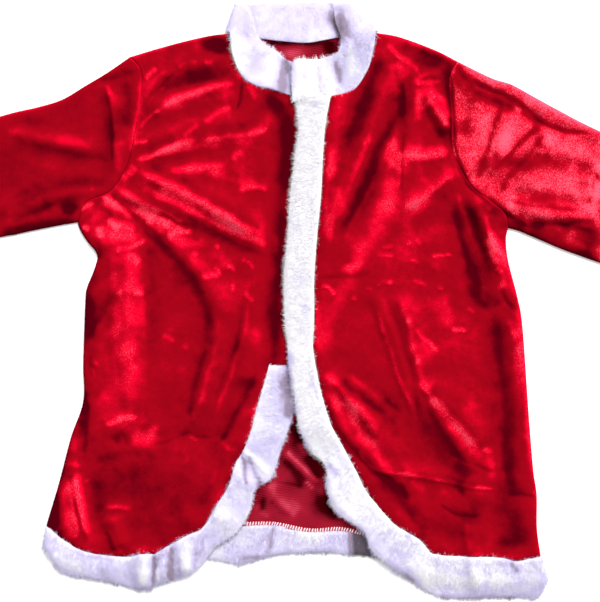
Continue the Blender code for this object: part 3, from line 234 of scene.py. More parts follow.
# Finer creases, and the pile's brushing with painted shade and painted highlight: width, or both
# widths, rise in the cloth, brushing, x and y of its start, and the step to each next place. The
# brushing runs from -1, painted shade, to 1, a painted pink sheen.
strokesRight = [
    ((3, 4), 0.5, 0.45, -223, 316, -1, -21, -1, -28, -5, -23, -3, -28, -4, -19),
    ((3, 4), -0.5, -0.45, -142, 335, -21, -12, -19, -11, -16, -19, -14, -21, -7, -14),
    (2.5, 0.5, 0.5, -187, 299, -11, -8, -10, -12, -7, -12), (3.6, 0.9, 0.52, -217, 307, 7, 9, 10, 10),
    (6, 0.5, 0.22, -219, 279, 14, 23, 23, 21), (4, 0.7, 0.5, -173, 321, 14, 7, 17, 6),
    (3.6, 0.8, 0.44, -135, 333, 9, -3, 7, 3), (12, 0, -0.4, -168, 312, 26, 2, 30, -2, 19, -7),
    (4, 0.6, 0.38, -103, 333, 10, -14, 11, -12), (3.1, 0.8, 0.52, -224, 238, 9, 13, 12, 9, 12, 7),
    ((6, 5.5), 1.3, 0.95, -198, 265, 14, 8, 16, 7, 19, 7, 18, 7, 19, 6, 27, -1),
    (8, -0.9, -0.32, -215, 244, 19, 12, 37, 11, 33, 12, 30, 9),
    ((4.5, 4), 1.2, 0.6, -135, 244, 9, 9, 12, 10, 11, 4, 11, 3), (4, 0.7, 0.5, -163, 227, 11, 10, 14, 7),
    ((5, 4.5), 1.1, 1, -233, 196, 18, 3, 19, 5, 19, 10, 18, 7, 21, 5),
    (4, 1.1, 0.6, -142, 223, 23, 2, 21, 4, 19, 2, 18, 4, 12, 4, 7, 10),
    (9, 1.1, 0.42, -79, 228, 21, 9, 11, 12, 12, 14), (3, 0.6, 0.5, -233, 218, 9, 3, 14, 1),
    (5, -0.7, -0.38, -219, 210, 14, 4, 18, 7, 14, 9),
    (9, -1.1, -0.42, -226, 190, 21, 1, 28, 6, 28, 9, 37, 8, 28, 0),
    ((5.5, 5), 1.2, 0.5, -187, 176, 19, 6, 19, 3, 18, 2, 19, 1, 12, -2),
    (6, 0.9, 0.3, -98, 193, 9, 9, 12, 9), (9, -0.7, -0.28, -173, 169, 24, -4, 35, 2, 35, 7),
    ((7.5, 5), 0.9, 0.8, -240, 182, 16, -3, 19, -8, 18, -9, 19, -8, 19, -10, 18, -11, 19, -13, 19, -9, 18,
     -9, 19, -8, 12, -6),
    ((6, 5.5), 0.5, 0.4, -243, 176, 17, -8, 21, -13, 23, -14, 23, -12, 24, -13, 23, -12, 23, -10, 24, -10,
     30, -10),
    ((5, 8), -1.1, -0.8, -236, 161, 21, -15, 19, -12, 23, -8, 24, -13, 23, -14, 23, -14, 24, -11, 23, -8, 23,
     -4),
    ((4.5, 4), 1, 0.5, -89, 153, 17, 4, 16, 1, 14, -7),
    ((5.5, 4.5), 1, 0.75, -257, 153, 14, -3, 10, -6, 14, -10, 18, -7, 19, -8, 14, -7, 16, -4, 14, -4),
    (2, -0.4, -0.5, -210, 126, 23, -10, 19, -8, 19, -4),
    (2.5, -0.6, -0.85, -264, 151, 14, -15, 14, -13, 12, -14),
    (8, -1.6, -0.88, -229, 116, 17, -21, 16, -14, 19, -19, 16, -19, 14, -18, 9, -24, 8, -18, 3, -24, -4,
     -23),
    ((8, 6), 1.1, 0.5, -233, 127, 16, -11, 14, -14, 16, -12), (5.4, 1.3, 0.56, -203, 113, 14, -5, 12, -4),
    ((4.5, 4), 1, 0.72, -187, 90, 14, 4, 14, 2, 12, 0), (7, 1, 0.38, -191, 85, 23, -4, 23, -3, 19, 5),
    (5, 1.1, 0.62, -278, 145, 10, -3, 11, -8, 14, -11, 12, -11), (3, -0.6, -0.55, -280, 132, 12, -9, 9, -7),
    (3.4, 0.9, 0.8, -308, 125, 9, 7, 13, 6), (10, 0, 0.45, -294, 127, 12, -7, 7, -11),
    ((5.4, 4.5), 1.1, 0.62, -268, 113, 9, -7, 16, -4, 17, -4), (3.6, 0.8, 0.44, -306, 104, 7, -5, 5, -7),
    (4, 1.1, 0.8, -284, 103, 4, -8, 0, -11), (8, 1.1, 0.42, -271, 90, 28, -2, 19, 4),
    (3, 0.7, 0.85, -257, 66, 7, 5, 14, 4, 12, 5, 12, 7),
    ((14, 12), 0, 0.34, -238, 74, 2, -21, 0, -24, 0, -28), (4, 0.7, 0.5, -243, 55, 7, 8, 9, -6, -4, -9),
    (3, 0.6, 0.5, -254, 11, 8, 2), (3.6, 0.9, 0.7, -233, 10, 9, 1, 10, -1),
    (4, -0.7, -0.5, -288, 83, 8, -14, 0, -14), ((12, 5), -0.6, -0.32, -215, 81, 5, -24, 2, -30, 3, -26),
    ((4.5, 3.6), 0.9, 0.68, -140, 31, 9, 3, 12, 1, 8, -1), (2.2, 0.6, 0.48, -121, 48, 7, -7, 3, -7),
    (2.7, 0.7, 0.56, -103, 50, 7, -3, 7, -6), (2.3, 0.6, 0.5, -82, 60, 10, -7, 9, -11),
    (3.6, 0.9, 0.48, -152, 67, 12, -5), (3, 0.6, 0.5, -119, 81, 4, -5, 3, -5),
    (2.7, 0.7, 0.48, -96, 25, 2, -7, 1, -7), (2.7, 0.7, 0.52, -77, 14, 5, -10, 9, -5),
    (3, 0.6, 0.5, -184, 33, 9, 3), (2.5, 0.4, 0.42, -54, 34, 7, 0), (10, 0, 0.38, -159, 69, 17, -16, 9, -17),
    (9, 0.7, 0.28, -131, 67, 19, -10, 19, -11),
    ((3, 13), -0.7, -0.8, -21, 277, 6, -33, 1, -47, -7, -46, -3, -47, -4, -47, -5, -56, -2, -60, 0, -31),
    (3, 0.4, 0.4, -56, 298, 19, -10, 14, -7, 16, -3), (7, -1.3, -0.5, -49, 283, 16, -10, 14, -6),
    (2.4, -0.5, -0.85, -79, 307, -3, -16, -3, -14, -3, -14), (4, 0.7, 0.5, -75, 302, 7, -11, 7, -12),
    ((12, 15), 0, 0.3, -236, 39, 2, -33, 0, -35, -2, -35, -1, -23),
    ((20, 24), 0, 0.27, -238, -71, -5, -30, -9, -33, -7, -23, 12, -28),
    ((15, 3), -0.5, -0.45, -215, 25, 3, -42, 2, -47, 0, -37),
    (7, -1.5, -0.62, -257, 15, -11, -21, -14, -21, -10, -21, -7, -16),
    (12, 0, -0.4, -289, 6, -3, -23, -2, -24), (4, 0.5, 0.32, -259, -1, -14, -23, -16, -28, -9, -19),
    (6, 1.1, 0.48, -292, -90, 6, 3, 6, 3), (5, 0.8, 0.42, -294, -101, 10, 4),
    (4, 0.5, 0.36, -196, -48, 12, -4, 11, -7), (4, 0.6, 0.4, -168, -62, 14, -5),
    (4, 1.0, 0.66, -273, -176, 14, 7, 12, 5, 11, 1, 13, 6), (6.3, 1.3, 0.42, -215, -190, 10, 7, 10, 11),
    (14, 0, 0.36, -266, -181, 23, 0, 19, -14, 28, -9),
    (6, -1.1, -0.5, -259, -204, 5, 12, 4, 4, 5, -7, 7, -11),
    (6, -0.9, -0.42, -292, -230, 12, 7, 21, 5, 21, 4, 23, 0, 24, -11),
    (44, 0, -0.42, -330, -262, 68, 4, 75, -4, 75, 0),
    ((6, 5), 0.8, 0.45, -114, -13, -3, -25, -2, -26, -5, -23, -7, -24, -7, -23, -7, -21, -4, -19),
    ((5, 6), -1.1, -0.65, -131, -64, -7, -23, -7, -24, -5, -23, -2, -23, 4, -19),
    (2.7, 0.7, 0.48, -149, -151, 0, -17),
    ((4.5, 5), -0.9, -0.55, -79, 8, -3, -25, -4, -31, -7, -23, -7, -21, -12, -28, -7, -28),
    (4, 0.6, 0.42, -72, 1, -3, -25, -4, -28, -10, -28, -7, -21, -9, -24, -9, -23, -3, -23),
    ((12, 10), 0, 0.28, -61, -31, -2, -28, -9, -28, -14, -24),
    (5, -1.1, -0.7, -63, -101, -12, -28, -11, -24, -12, -23, -14, -28),
    ((7, 5), 0.6, 0.32, -57, -111, -12, -28, -14, -23, -10, -23, -10, -19),
    (3.1, 0.7, 0.44, -112, -195, 12, -11, 16, -3), (6, -1.1, -0.5, -114, -188, 11, -8),
    (3, -0.6, -0.5, -205, -202, 18, 5, 19, 7, 9, 5, 19, -5, 23, 0), (2.7, 0.6, 0.44, -156, -188, 14, -9),
    (4, 0.4, 0.3, -163, -204, 5, -14, -5, -14),
    (5, 0.4, 0.24, -47, -92, -9, -28, -7, -28, -5, -23, -16, -35, -16, -40, -19, -35, -19, -28),
    (3.6, 0.9, 0.54, -117, -234, -3, -12, -6, -13),
    (6, -0.9, -0.4, -103, -216, -16, -30, -12, -26, -18, -25), (2.3, 0.5, 0.44, -331, -232, 11, 4, 17, -2),
    (3, -0.4, -0.4, -327, -237, 12, 0, 14, 0), (6, 0.9, 0.42, -301, -153, -7, -23, -7, -28, -7, -19),
    ((4, 5), -0.9, -0.7, -299, -134, 2, -23, -1, -24, -3, -23, -2, -23),
    (5, 1.1, 0.6, -313, -234, 3, -21, 4, -26, 5, -28, 7, -26),
    (12, 0, 0.42, -324, -241, -3, -33, 10, -35, 7, -30), (3, -0.7, -0.6, -315, -272, 5, -25, 7, -24, 5, -21),
    ((9, 8), -1.1, -0.42, -288, -246, 4, -33, 4, -30, 3, -26), (4, 0.7, 0.5, -298, -247, 4, -6),
    (3.6, 0.9, 0.48, -315, -323, 5, -8), (3.6, 0.9, 0.56, -266, -318, 7, -14, 5, -12, 11, -12),
    (4, -0.7, -0.5, -273, -321, 7, -14, 9, -16), (4.5, 1, 0.44, -271, -288, 14, 2, 14, -3, 13, -3),
    (3, 0.4, 0.32, -301, -347, 30, -6, 28, -1), (9.8, 0, -0.45, -196, 298, 42, 17, 49, 11, 35, 3),
    (7, 0.5, 0.4, -210, 256, 49, 13, 42, 12, 35, 12), (7, 0, -0.3, -175, 238, 56, 6, 60, 4),
    (6.3, 0.4, 0.35, -196, 200, 56, 14, 49, 7, 42, 2),
    ((9.8, 12.6), -0.6, -1.2, -62, 301, 26, -20, 18, -30, 3, -54, -6, -56),
    (8.4, 0, -0.55, -21, 147, -6, -90, -2, -126),
    ((7, 8.4), -0.6, -0.75, -224, 189, 49, -17, 56, -33, 66, -40),
    ((5.6, 6.3), 0.5, 0.2, -245, 172, 56, -32, 63, -29, 81, -40),
    ((11.2, 12.6), 0, 0.45, -287, 130, 46, 3, 52, -20), (11.2, 0, 0.4, -297, 119, 24, -34, 18, -44),
    (8.4, 0, -0.5, -297, 22, 7, -77, -4, -56), ((4.9, 5.6), -0.4, -0.9, -300, -122, -2, -33, -6, -23),
    ((7.7, 9.1), -0.6, -1.5, -344, -259, -2, -27, -1, -35), (16.8, 0, -0.35, -280, -342, 42, 21, 49, 28),
    (14, 0, -0.4, -91, -48, 17, -42, -10, -49), (9.8, 0, -0.4, -129, -24, 7, -42),
    (8.4, 0, 0.3, -238, -183, 42, -9, 35, 4), (8.4, 0, -0.35, -182, 55, 28, -40),
    (9.8, -0.5, -1.1, -146, 360, 24, -4, 17, -13), (3.6, 0.6, 0.55, -279, 146, 17, -10),
    (5, 0.5, 0.5, -266, 119, 4, -13, 13, -8), (3.1, 0.5, 0.5, -305, 105, 12, -8),
    ((9.8, 12.6), 0, 0.2, -241, 22, 9, -63, -5, -63, 0, -49, 16, -30),
    (7.7, -0.3, -0.5, -210, 287, 56, 17, 59, 11), (9.8, -0.5, -1, -133, 365, 22, -8, 12, -20),
    (9.8, 0, -0.3, -189, 349, 49, 5), (8.4, 0, -0.35, -91, 239, 38, 14),
    (6.3, -0.4, -0.5, -246, 160, 30, -14), (6.3, 0.3, 0.3, -213, 202, 59, 11, 59, 4),
    (6.3, 0.3, 0.3, -196, 179, 49, 3, 52, -4), (5.6, 0, 0.45, -175, 153, 56, -23, 52, -25),
    (7, 0, -0.5, -35, -29, 3, -54), (8.4, 0, -0.5, -57, -108, -14, -39),
    (6.3, -0.3, -0.6, -301, -164, -10, -33), ((5.6, 6.3), 0, -0.8, -322, -197, -13, -54, -8, -67),
    (8.4, 0, 0.3, -284, -259, 4, -28), (3.6, 0.5, 0.4, -314, -242, 5, -30, 7, -35),
    ((7, 8.4), 0, -0.5, -78, -192, -16, -42, -10, -39), (19.6, 0, -0.25, -227, -216, 20, -91),
    (16.8, 0, -0.25, -165, -234, -14, -75), (7, 0.4, 0.45, -266, 141, 35, -16, 35, -17),
    (5.6, 0, 0.5, -35, 97, 3, -34), (7, 0, 0.3, -263, 55, 8, -54, -1, -63), (7, 0, 0.25, -220, 27, 4, -89),
    (6.3, 0.3, 0.4, -109, 335, -37, -6, -43, -17), (12.6, 0, -0.3, -280, -85, -3, -54),
    (15.4, 0, -0.2, -210, -76, 14, -63), (9.8, 0, -0.4, -87, 60, 11, -36), (7, 0, -0.4, -95, 119, 43, -20),
    (4.8, 0.3, 0.5, -266, 197, 21, -25, 10, -5), (5.6, 0.3, 0.55, -210, 125, 28, -20, 22, -8),
    (5.6, -0.3, -0.5, -230, 122, 20, -11), (5.6, 0.3, 0.3, -133, 176, 46, -9, 34, -6),
    (8.4, 0, -0.8, -347, -300, 8, -42), (4.2, 0.4, 0.45, -322, -248, 6, -47, 8, -33),
    (7, 0, 0.3, -224, -150, 11, -25), (9.8, 0, -0.4, -132, -216, 31, 16),
    (3.6, 0.5, 0.45, -207, 162, 39, -18, 42, -22, 42, -23, 28, -11),
    (14, 0, 0.35, -263, -24, 14, -38, 5, -32), (7, 0, 0.3, -263, 55, 8, -33),
    (5.6, 0, -0.35, -339, -318, 14, -14, 17, -10), (3.4, 0.3, 0.4, -274, -290, 19, 4, 23, -4),
    (8.4, 0, 0.2, -328, -237, -2, -42, 5, -44), (5.6, 0, 0.25, -316, -225, 8, 0),
    (7, 0, -0.4, -340, -276, 4, -31, 8, -25), (8.4, 0, -0.35, -291, 55, -3, -54, -3, -70),
    (7, 0, -0.3, -300, -139, -8, -56), (8.4, 0, -0.4, -77, -125, 7, -30), (8.4, 0, -0.5, -39, -69, 5, -33),
    (12.6, 0, -0.25, -140, -41, 21, -49), (12.6, 0, -0.25, -210, -328, 70, 21),
    (4.2, 0, 0.5, -241, 190, 17, -9), (7, 0, 0.4, -302, 133, 19, -8),
    (7, 0, 0.3, -286, 102, 48, -11, 42, -3), (5.6, 0, 0.3, -210, 134, 35, -12, 24, -11),
    (4.2, 0, 0.5, -242, 183, 12, -11), (7, 0, -0.5, -346, -272, 7, -42), (9.8, 0, -0.3, -297, 36, 23, -14),
    (5.6, 0, 0.4, -115, 116, 38, -22, 38, -18), (5.6, 0, 0.35, -263, 169, 22, -22, 17, -14),
]
strokesSleeveRight = [
    ((3.5, 4.9), 0.4, 0.55, -224, 312, 0, -31, -4, -30, -6, -33, -5, -21),
    ((8, 3.5), 0.6, 0.5, -268, 302, 5, -25, 4, -28, 3, -28, 1, -28, -5, -33),
    ((2.6, 3), -0.6, -0.75, -273, 300, 5, -21, 5, -23, 2, -24, 0, -25, -1, -24),
    (3, 0.5, 0.45, -270, 302, 4, -9, 3, -9), (7, -1.3, -0.5, -244, 307, 3, -28, 0, -23, -3, -21),
    (6, -1, -0.45, -285, 309, 28, 3, 19, 6, 12, 1), (3, 0.4, 0.35, -292, 295, 12, 4, 7, 3),
    (4, 0.7, 0.5, -292, 158, 4, -4), (7, -1.4, -0.45, -409, 227, 45, -11, 42, -10, 35, -6, 25, -12),
    (10, 1, 0.3, -417, 244, 39, -17, 42, -6, 42, -4, 31, -8), (12, 0.6, 0.26, -370, 189, 48, -8, 53, -5),
    ((7, 8), -1.4, -0.45, -400, 146, 50, 9, 42, 9, 45, -2),
    ((6, 7), 1.4, 0.42, -386, 133, 43, 11, 35, 7, 39, 3), (5, -0.7, -0.4, -406, 108, 35, 14, 32, 14),
    (6, 0.7, 0.3, -414, 119, 36, 11, 28, 7), ((8, 9), -1.6, -0.8, -333, 119, 14, 11, 14, -4),
    (12, 0, 0.14, -392, 274, 42, 10, 42, 14), ((7, 5), 1.8, 0.35, -448, 253, -20, -42, -25, -64),
    ((6, 8), 1.6, 0.3, -507, 211, -39, -28, -53, -25), ((7, 6), 1.8, 0.35, -644, 155, 14, -56, -22, -44),
    (7, -1.4, -0.4, -504, 134, -56, -23, -70, -14), (8.4, 0, -0.6, -256, 276, 1, -30, -1, -29),
    (8.4, 0, -0.22, -423, 242, 45, 11, 42, 14, 56, 21), (5.6, 0, -0.8, -423, 94, 59, 11, 53, 8),
    (8.4, 0, -0.5, -339, 133, 31, -11), (7, 0.2, 0.25, -423, 223, 59, -2, 84, -10),
    (7, 0.2, 0.28, -423, 111, 45, 4, 67, 18, 37, 11), (7, 0, -0.3, -423, 147, 73, -1, 70, 9),
]
strokesLeft = [
    (3.6, -1.2, -1.3, 204, 332, 5, -30, 1, -35, 3, -42, 5, -28, 14, -32, 20, -22, 17, -13),
    (8.5, -1.8, -1.1, 114, 349, -7, -26, -8, -18, -13, -33, -9, -19, -7, -18, -5, -21, -4, -19),
    (9, 1.4, 0.36, 126, 335, -5, -28, -9, -30, -12, -24, -11, -28, -12, -28, -12, -25, -11, -28, -12, -35,
     -5, -35),
    ((4, 5), -0.9, -0.8, 142, 307, 0, -30, 0, -28),
    (8, -2, -1.1, 140, 267, -9, -18, -12, -21, -12, -21, -9, -24, -9, -23, -12, -23, -12, -24, -14, -23, -13,
     -22),
    (4.5, 1, 0.55, 138, 249, -7, -19, -10, -19, -9, -23, -12, -28, -11, -23, -14, -24, -17, -37),
    ((16, 14), 0, 0.34, 140, 235, -9, -33, -7, -35, -10, -35, -11, -28, -19, -30, -9, -31),
    (10, 0, 0.4, 69, 55, 6, -15), (2.5, -0.6, -0.6, 144, 235, -1, -33, -1, -30, 0, -28),
    (5, 0.6, 0.3, 42, 221, -2, -42, -5, -35, -2, -35), (6, -0.8, -0.35, 61, 193, -5, -14, -7, -24),
    (4.5, 1, 0.6, 119, 362, 16, -20, 17, -9, 11, -12, 3, -10),
    (9, -1.5, -0.55, 135, 356, 24, -9, 23, -10, 19, -14),
    (5, 0.8, 0.42, 145, 361, 32, -10, 31, -11, 11, -10), (5, -1.1, -0.6, 163, 351, 24, -9, 18, -12, 12, -12),
    (8, 1.1, 0.42, 131, 335, 9, -16, 0, -17), (4.5, 1, 0.42, 163, 307, 14, 8, 14, 2, 11, 0),
    (4, 0.7, 0.48, 159, 302, 18, 2, 23, 3), (2, -0.3, -0.45, 163, 309, 19, 2, 18, 0),
    (6, 1, 0.45, 163, 298, 0, -26, 3, -28), (5, -0.6, -0.35, 152, 319, 2, -31, 0, -28),
    (5, 1.1, 0.7, 173, 283, 9, 3, 12, -2, 7, -7, 4, -12, 3, -16),
    (6, -1.6, -0.75, 175, 272, 5, -12, 7, -14, 7, -16, 7, -9), (7, 1, 0.4, 187, 272, 11, -19, 7, -18),
    ((3.5, 7), -1.2, -0.9, 210, 323, 0, -23, 1, -28, 2, -28, 1, -28),
    ((8, 6), 1.4, 0.66, 145, 204, 14, -3, 18, 1, 19, 4, 16, 3), (9, -0.6, -0.22, 145, 188, 32, 2, 33, 7),
    ((6, 5), 1.1, 0.65, 140, 122, 14, 10, 19, 12, 14, 11, 14, 12, 16, 14),
    (13, 0, -0.34, 145, 102, 28, 11, 28, 24, 11, 18),
    ((5, 5.5), -1.1, -0.75, 214, 141, 3, -21, 7, -28, 7, -28, 12, -30, 7, -28),
    (3, 0.6, 0.5, 222, 151, 2, -19, 7, -19, 10, -28),
    ((6.5, 6), -1.3, -0.8, 230, 134, 10, -21, 7, -23, 10, -23, 11, -24, 14, -21),
    (4, 0.9, 0.6, 257, 127, 4, -23, 7, -23, 14, -19, 8, -23), (3, 0.6, 0.5, 266, 88, 12, -12, 9, -12),
    (2.7, 0.6, 0.44, 271, 45, 14, -7), (5, -0.8, -0.42, 262, 118, 11, -21, 9, -14),
    (4, 0.7, 0.48, 271, 119, 11, -10, 8, -7), (6, 0.9, 0.42, 290, 74, 3, -24, 6, -30, 5, -19),
    (2, 0.6, 0.34, 147, 83, 9, -3), (2, 0.6, 0.34, 161, 88, 7, -12), (2, 0.6, 0.34, 152, 57, 14, -5),
    (2, 0.6, 0.34, 112, 74, 19, 2), (2, 0.6, 0.34, 107, 64, 12, 0, 12, -2), (2, 0.6, 0.34, 114, 29, 17, -7),
    (2, 0.6, 0.34, 89, 20, 12, -5), (2, 0.6, 0.34, 156, 29, 21, -7), (2, 0.6, 0.34, 191, 18, 10, -3),
    (1.5, 0.6, 0.55, 182, 62, 14, 2, 19, 0), (2.4, 0.9, 0.62, 28, 22, 12, -4, 10, -13),
    (3, -0.6, -0.5, 21, 32, 28, 1, 35, 3, 19, 7),
    (4, 1.4, 0.48, 105, -3, 7, -26, 9, -28, 10, -30, 9, -28, 12, -28, 9, -31),
    ((5, 5.5), -1.4, -0.62, 117, 15, 9, -28, 12, -28, 7, -28, 7, -23, 7, -28, 4, -28, 5, -28),
    ((6, 5), 1.4, 0.5, 135, 15, 7, -28, 10, -23, 2, -23, 7, -24, 5, -23, 11, -23, 21, -19),
    (2.7, 0.6, 0.44, 149, -23, 3, -9), (3, 0.6, 0.5, 161, -77, 3, -13),
    (2, 0.4, 0.8, 159, -36, 9, -12, 12, -11, 14, -14),
    ((10, 6), 1.4, 0.42, 177, -134, 19, -16, 14, -14, 14, -14, 14, -17, 14, -18),
    (3.6, 0.2, 0.3, 219, -176, 12, -12, 7, -9), (3.6, 0.9, 0.52, 254, -212, 5, 5, 7, -7),
    (6, -1.6, -0.7, 173, -143, 14, -21, 11, -21, 12, -19, 14, -12, 19, -9),
    (2.5, -0.5, -0.55, 205, -209, 19, -11, 23, -10, 26, -9), (6, 0.7, 0.3, 233, -206, 19, -17, 23, -11),
    (8, -1.6, -0.6, 233, 25, 14, -26, 17, -14),
    ((8.5, 9), -1.6, -0.75, 259, -6, 16, -35, 3, -28, 7, -32, 4, -33, 3, -35, -3, -35, 3, -35, 2, -35),
    (4, -0.9, -0.7, 280, 18, 9, -19, 12, -14),
    (8, 1, 0.36, 303, 6, 4, -47, 3, -46, 6, -47, 4, -47, 5, -46, 2, -35),
    (4.5, 1, 0.44, 289, -24, 5, -17, 7, -16), (2.7, 0.7, 0.64, 210, -42, 12, 3, 11, -5),
    (4.5, 0.6, 0.5, 30, -105, 14, -4, 12, -11, 9, -16, 10, -17, 7, -14),
    ((13, 10), 0.7, 0.4, 42, -120, 12, -19, 16, -23, 19, -23, 18, -19, 14, -9),
    (6, -1.6, -0.65, 51, -108, 19, -17, 19, -14, 18, -14, 19, -9),
    (2.5, -0.4, -0.45, 117, -134, 14, -14, 14, -12), (6, 0.5, 0.22, 61, -101, 21, -17, 21, -16, 18, -14),
    ((5, 6), -1.8, -0.85, 33, -129, 9, -28, 14, -28, 14, -19, 16, -19, 14, -14, 21, -11, 19, -19, 14, -19),
    (2.5, 0.6, 0.65, 79, -207, 14, -19, 12, -9, 21, -4), (6, -1.1, -0.5, 126, -157, 5, -19, 0, -19),
    (2.6, 1, 0.7, 100, -237, 21, -2, 24, -3, 23, -4, 23, -3, 24, -5, 21, -5, 21, -2, 25, -1),
    (2.5, 0.3, 0.35, 240, -259, 19, -2, 19, -1), (5, -1.1, -0.62, 107, -244, 24, -9, 14, -14, 9, -16),
    (10, 0, 0.28, 145, -253, 23, -7, 23, -7, 24, -12), (8, -1.4, -0.52, 217, -248, 7, -17, 9, -9),
    (2.2, -0.6, -0.55, 191, -281, 24, -16, 18, -3, 24, 0), (8, 0.6, 0.22, 233, -267, 24, -5, 21, 0),
    (3, -0.6, -0.55, 289, -267, 14, -2, 28, -3), (2.7, 0.6, 0.44, 321, -267, 11, -2),
    (14, 0, -0.48, 163, -297, 24, -10, 23, -14, 7, -23), (4, 0.5, 0.36, 231, -307, 2, -28, 3, -18),
    (6, 0.7, 0.32, 131, -290, 18, -17, 19, -21), (6, -0.8, -0.38, 154, -283, 14, -19, 9, -23),
    (18, 0, -0.32, 292, -281, 11, -40, 5, -32), (3, 0.4, 0.38, 187, -356, 23, 0, 47, 3, 35, -4, 35, 1),
    (5, 0.5, 0.28, 23, 6, 0, -47, 3, -35), (28, 0, -0.18, 70, -41, 14, -28, 14, -23),
    (2.9, 0.6, 0.44, 70, 2, 12, 2), (2.9, 0.6, 0.44, 107, 25, 6, -5), (2.9, 0.6, 0.44, 121, 29, 10, -5),
    (2.9, 0.6, 0.44, 252, 22, 5, -5), (2.9, 0.6, 0.44, 233, -8, 12, -10),
    (9.8, 0, 0.5, 67, 260, -17, -49, -11, -53), (8.4, 0, 0.45, 34, 127, 9, -50),
    (7.7, -0.5, -0.45, 106, 302, -14, -42, -19, -63, -17, -63),
    (4.9, 0.5, 0.4, 101, 239, -20, -49, -21, -49), (9.8, -0.6, -0.6, 118, 211, -17, -49, -28, -51, -10, -20),
    (8.4, 0.5, 0.55, 157, 288, 25, -23, 25, -28), (7, 0, -0.5, 151, 337, 38, -11, 28, -17),
    (7, 0.3, 0.35, 140, 211, 35, 0), (9.8, -0.4, -0.4, 168, 172, 35, 17),
    (15.4, 0, 0.36, 140, 140, 42, -7, 25, 8), (19.6, 0, 0.28, 175, 120, 10, -49),
    ((11.2, 12.6), -0.5, -0.6, 218, 148, 14, -56, 12, -49, 15, -42),
    ((5.6, 6.3), 0.6, 0.35, 249, 130, 14, -42, 14, -45, 14, -39),
    (5.6, -0.4, -0.7, 263, 130, 17, -19, 11, -12), (11.2, -0.4, -0.5, 45, -99, 39, -9, 35, -28, 21, -31),
    (7, -0.6, -0.8, 70, -195, 31, -36, 32, -36, 24, -37, 25, -38),
    (16.8, 0, -0.5, 157, -118, 25, -56, 28, -49, 28, -56, 21, -42),
    (16.8, 0, -0.5, 287, -237, 10, -70, 3, -49), (8.4, 0, -0.4, 272, -27, 2, -112),
    (7, 0, 0.4, 298, -24, 3, -73, 4, -70), (8.4, 0, 0.35, 137, -234, 14, -24),
    (14, 0, -0.35, 168, -265, 45, -14), (8.4, 0, 0.25, 203, 18, 4, -59),
    ((12.6, 11.2), 0.4, 0.38, 140, 197, -20, -70, -28, -49, -19, -37, -17, -33, -20, -49, -5, -58),
    (7.7, -0.3, -0.45, 137, 293, 9, -37, 1, -39), (6.3, 0.3, 0.5, 176, 284, 17, -22, 18, -25),
    ((6.3, 7), 0.3, 0.4, 137, 202, 38, 0, 38, 8), (4.2, 0.5, 0.8, 210, 211, 15, -33, 26, -27),
    (6.3, -0.5, -0.7, 252, 141, 10, -28, 7, -22), ((5, 5.6), 0.5, 0.6, 258, 91, 8, -34, 8, -33),
    (12.6, 0, 0.28, 157, 153, -3, -54, -7, -53), (8.4, 0, 0.3, 188, 74, 5, -36),
    ((6.3, 8.4), -0.4, -0.6, 50, -108, 23, -11, 32, -31, 27, -31),
    (9.8, -0.3, -0.6, 179, -116, 25, -16, 34, -15),
    ((6.3, 7), 0.6, 0.35, 174, -130, 19, -25, 20, -31, 19, -34, 26, -28),
    (7, 0.3, 0.45, 98, -209, 28, -28, 17, -25), (11.2, -0.4, -0.55, 218, -216, 26, -37),
    (9.8, 0, -0.35, 161, -239, 38, -31), (6.3, 0.3, 0.45, 263, -206, 7, -47),
    (8.4, -0.4, -0.5, 255, 18, 25, -31), (8.4, 0, -0.35, 158, -24, 10, -39),
    (7.7, 0.3, 0.45, 122, 181, 10, 36, 4, 34), (7, 0.3, 0.4, 125, 335, 7, -31, 2, -23),
    (5.6, 0.3, 0.4, 64, -102, 28, -20, 26, -22), (5.6, 0.3, 0.35, 200, 253, 9, -19),
    (7, 0.3, 0.5, 157, 315, 11, -17), (9.8, 0, 0.25, 56, -76, 17, -23),
    (5.6, 0, -0.3, 115, 197, -14, -42, -17, -36), (5.6, -0.3, -0.4, 56, -144, 14, -28, 11, -23),
    (8.4, 0.3, 0.45, 132, 175, 9, 14, -1, 25), (5.6, 0, -0.3, 109, 295, -17, -39, -14, -31),
    (8.4, 0, 0.25, 63, 293, -14, -40, -10, -28), (12.6, 0, -0.35, 291, -216, 6, -63),
    (15.4, 0, 0.2, 190, 15, 6, -63, -21, -51), (5.6, 0, -0.4, 232, 141, 6, -21),
    (5.6, 0, 0.35, 213, 279, -6, -26), (11.2, 0, 0.3, 73, 164, -11, -42, -20, -45),
    (14, 0, -0.35, 217, -286, 21, -35, 22, -25), (11.2, 0, -0.4, 280, -279, 4, -70),
    (11.2, 0, 0.3, 63, -127, 24, -31, 19, -25), (7, 0, 0.3, 175, 256, 21, -17),
    (8.4, 0, -0.4, 231, 50, 21, -49), (12.6, 0, -0.3, 210, -223, 21, -35),
    (11.2, 0, -0.35, 269, -132, 11, -63), (12.6, 0, 0.25, 31, -113, 25, -37, 31, -39, 31, -28),
    (7, 0, 0.35, 73, -136, 19, -28, 17, -25), (9.1, 0, 0.38, 176, -125, 28, -35, 26, -30, 25, -30),
    (2.8, 0, 0.3, 210, -167, 31, -36), ((8.4, 7), 0, 0.3, 140, 211, 3, -28, -9, -28),
    ((5.6, 9.8), 0, -0.12, 147, 209, 56, -3), (8.4, 0, 0.25, 174, -108, 16, -28, 20, -28),
    (5.6, 0, 0.4, 260, 77, 12, -34, 14, -39), (11.2, 0, -0.35, 213, -279, 17, -28, 8, -28),
    (11.2, 0, -0.45, 283, -321, 8, -36), (7, 0, 0.3, 249, -202, 9, -18), (8.4, 0, 0.25, 63, 55, 10, -28),
    (7, 0, 0.3, 76, 270, -12, -31),
]
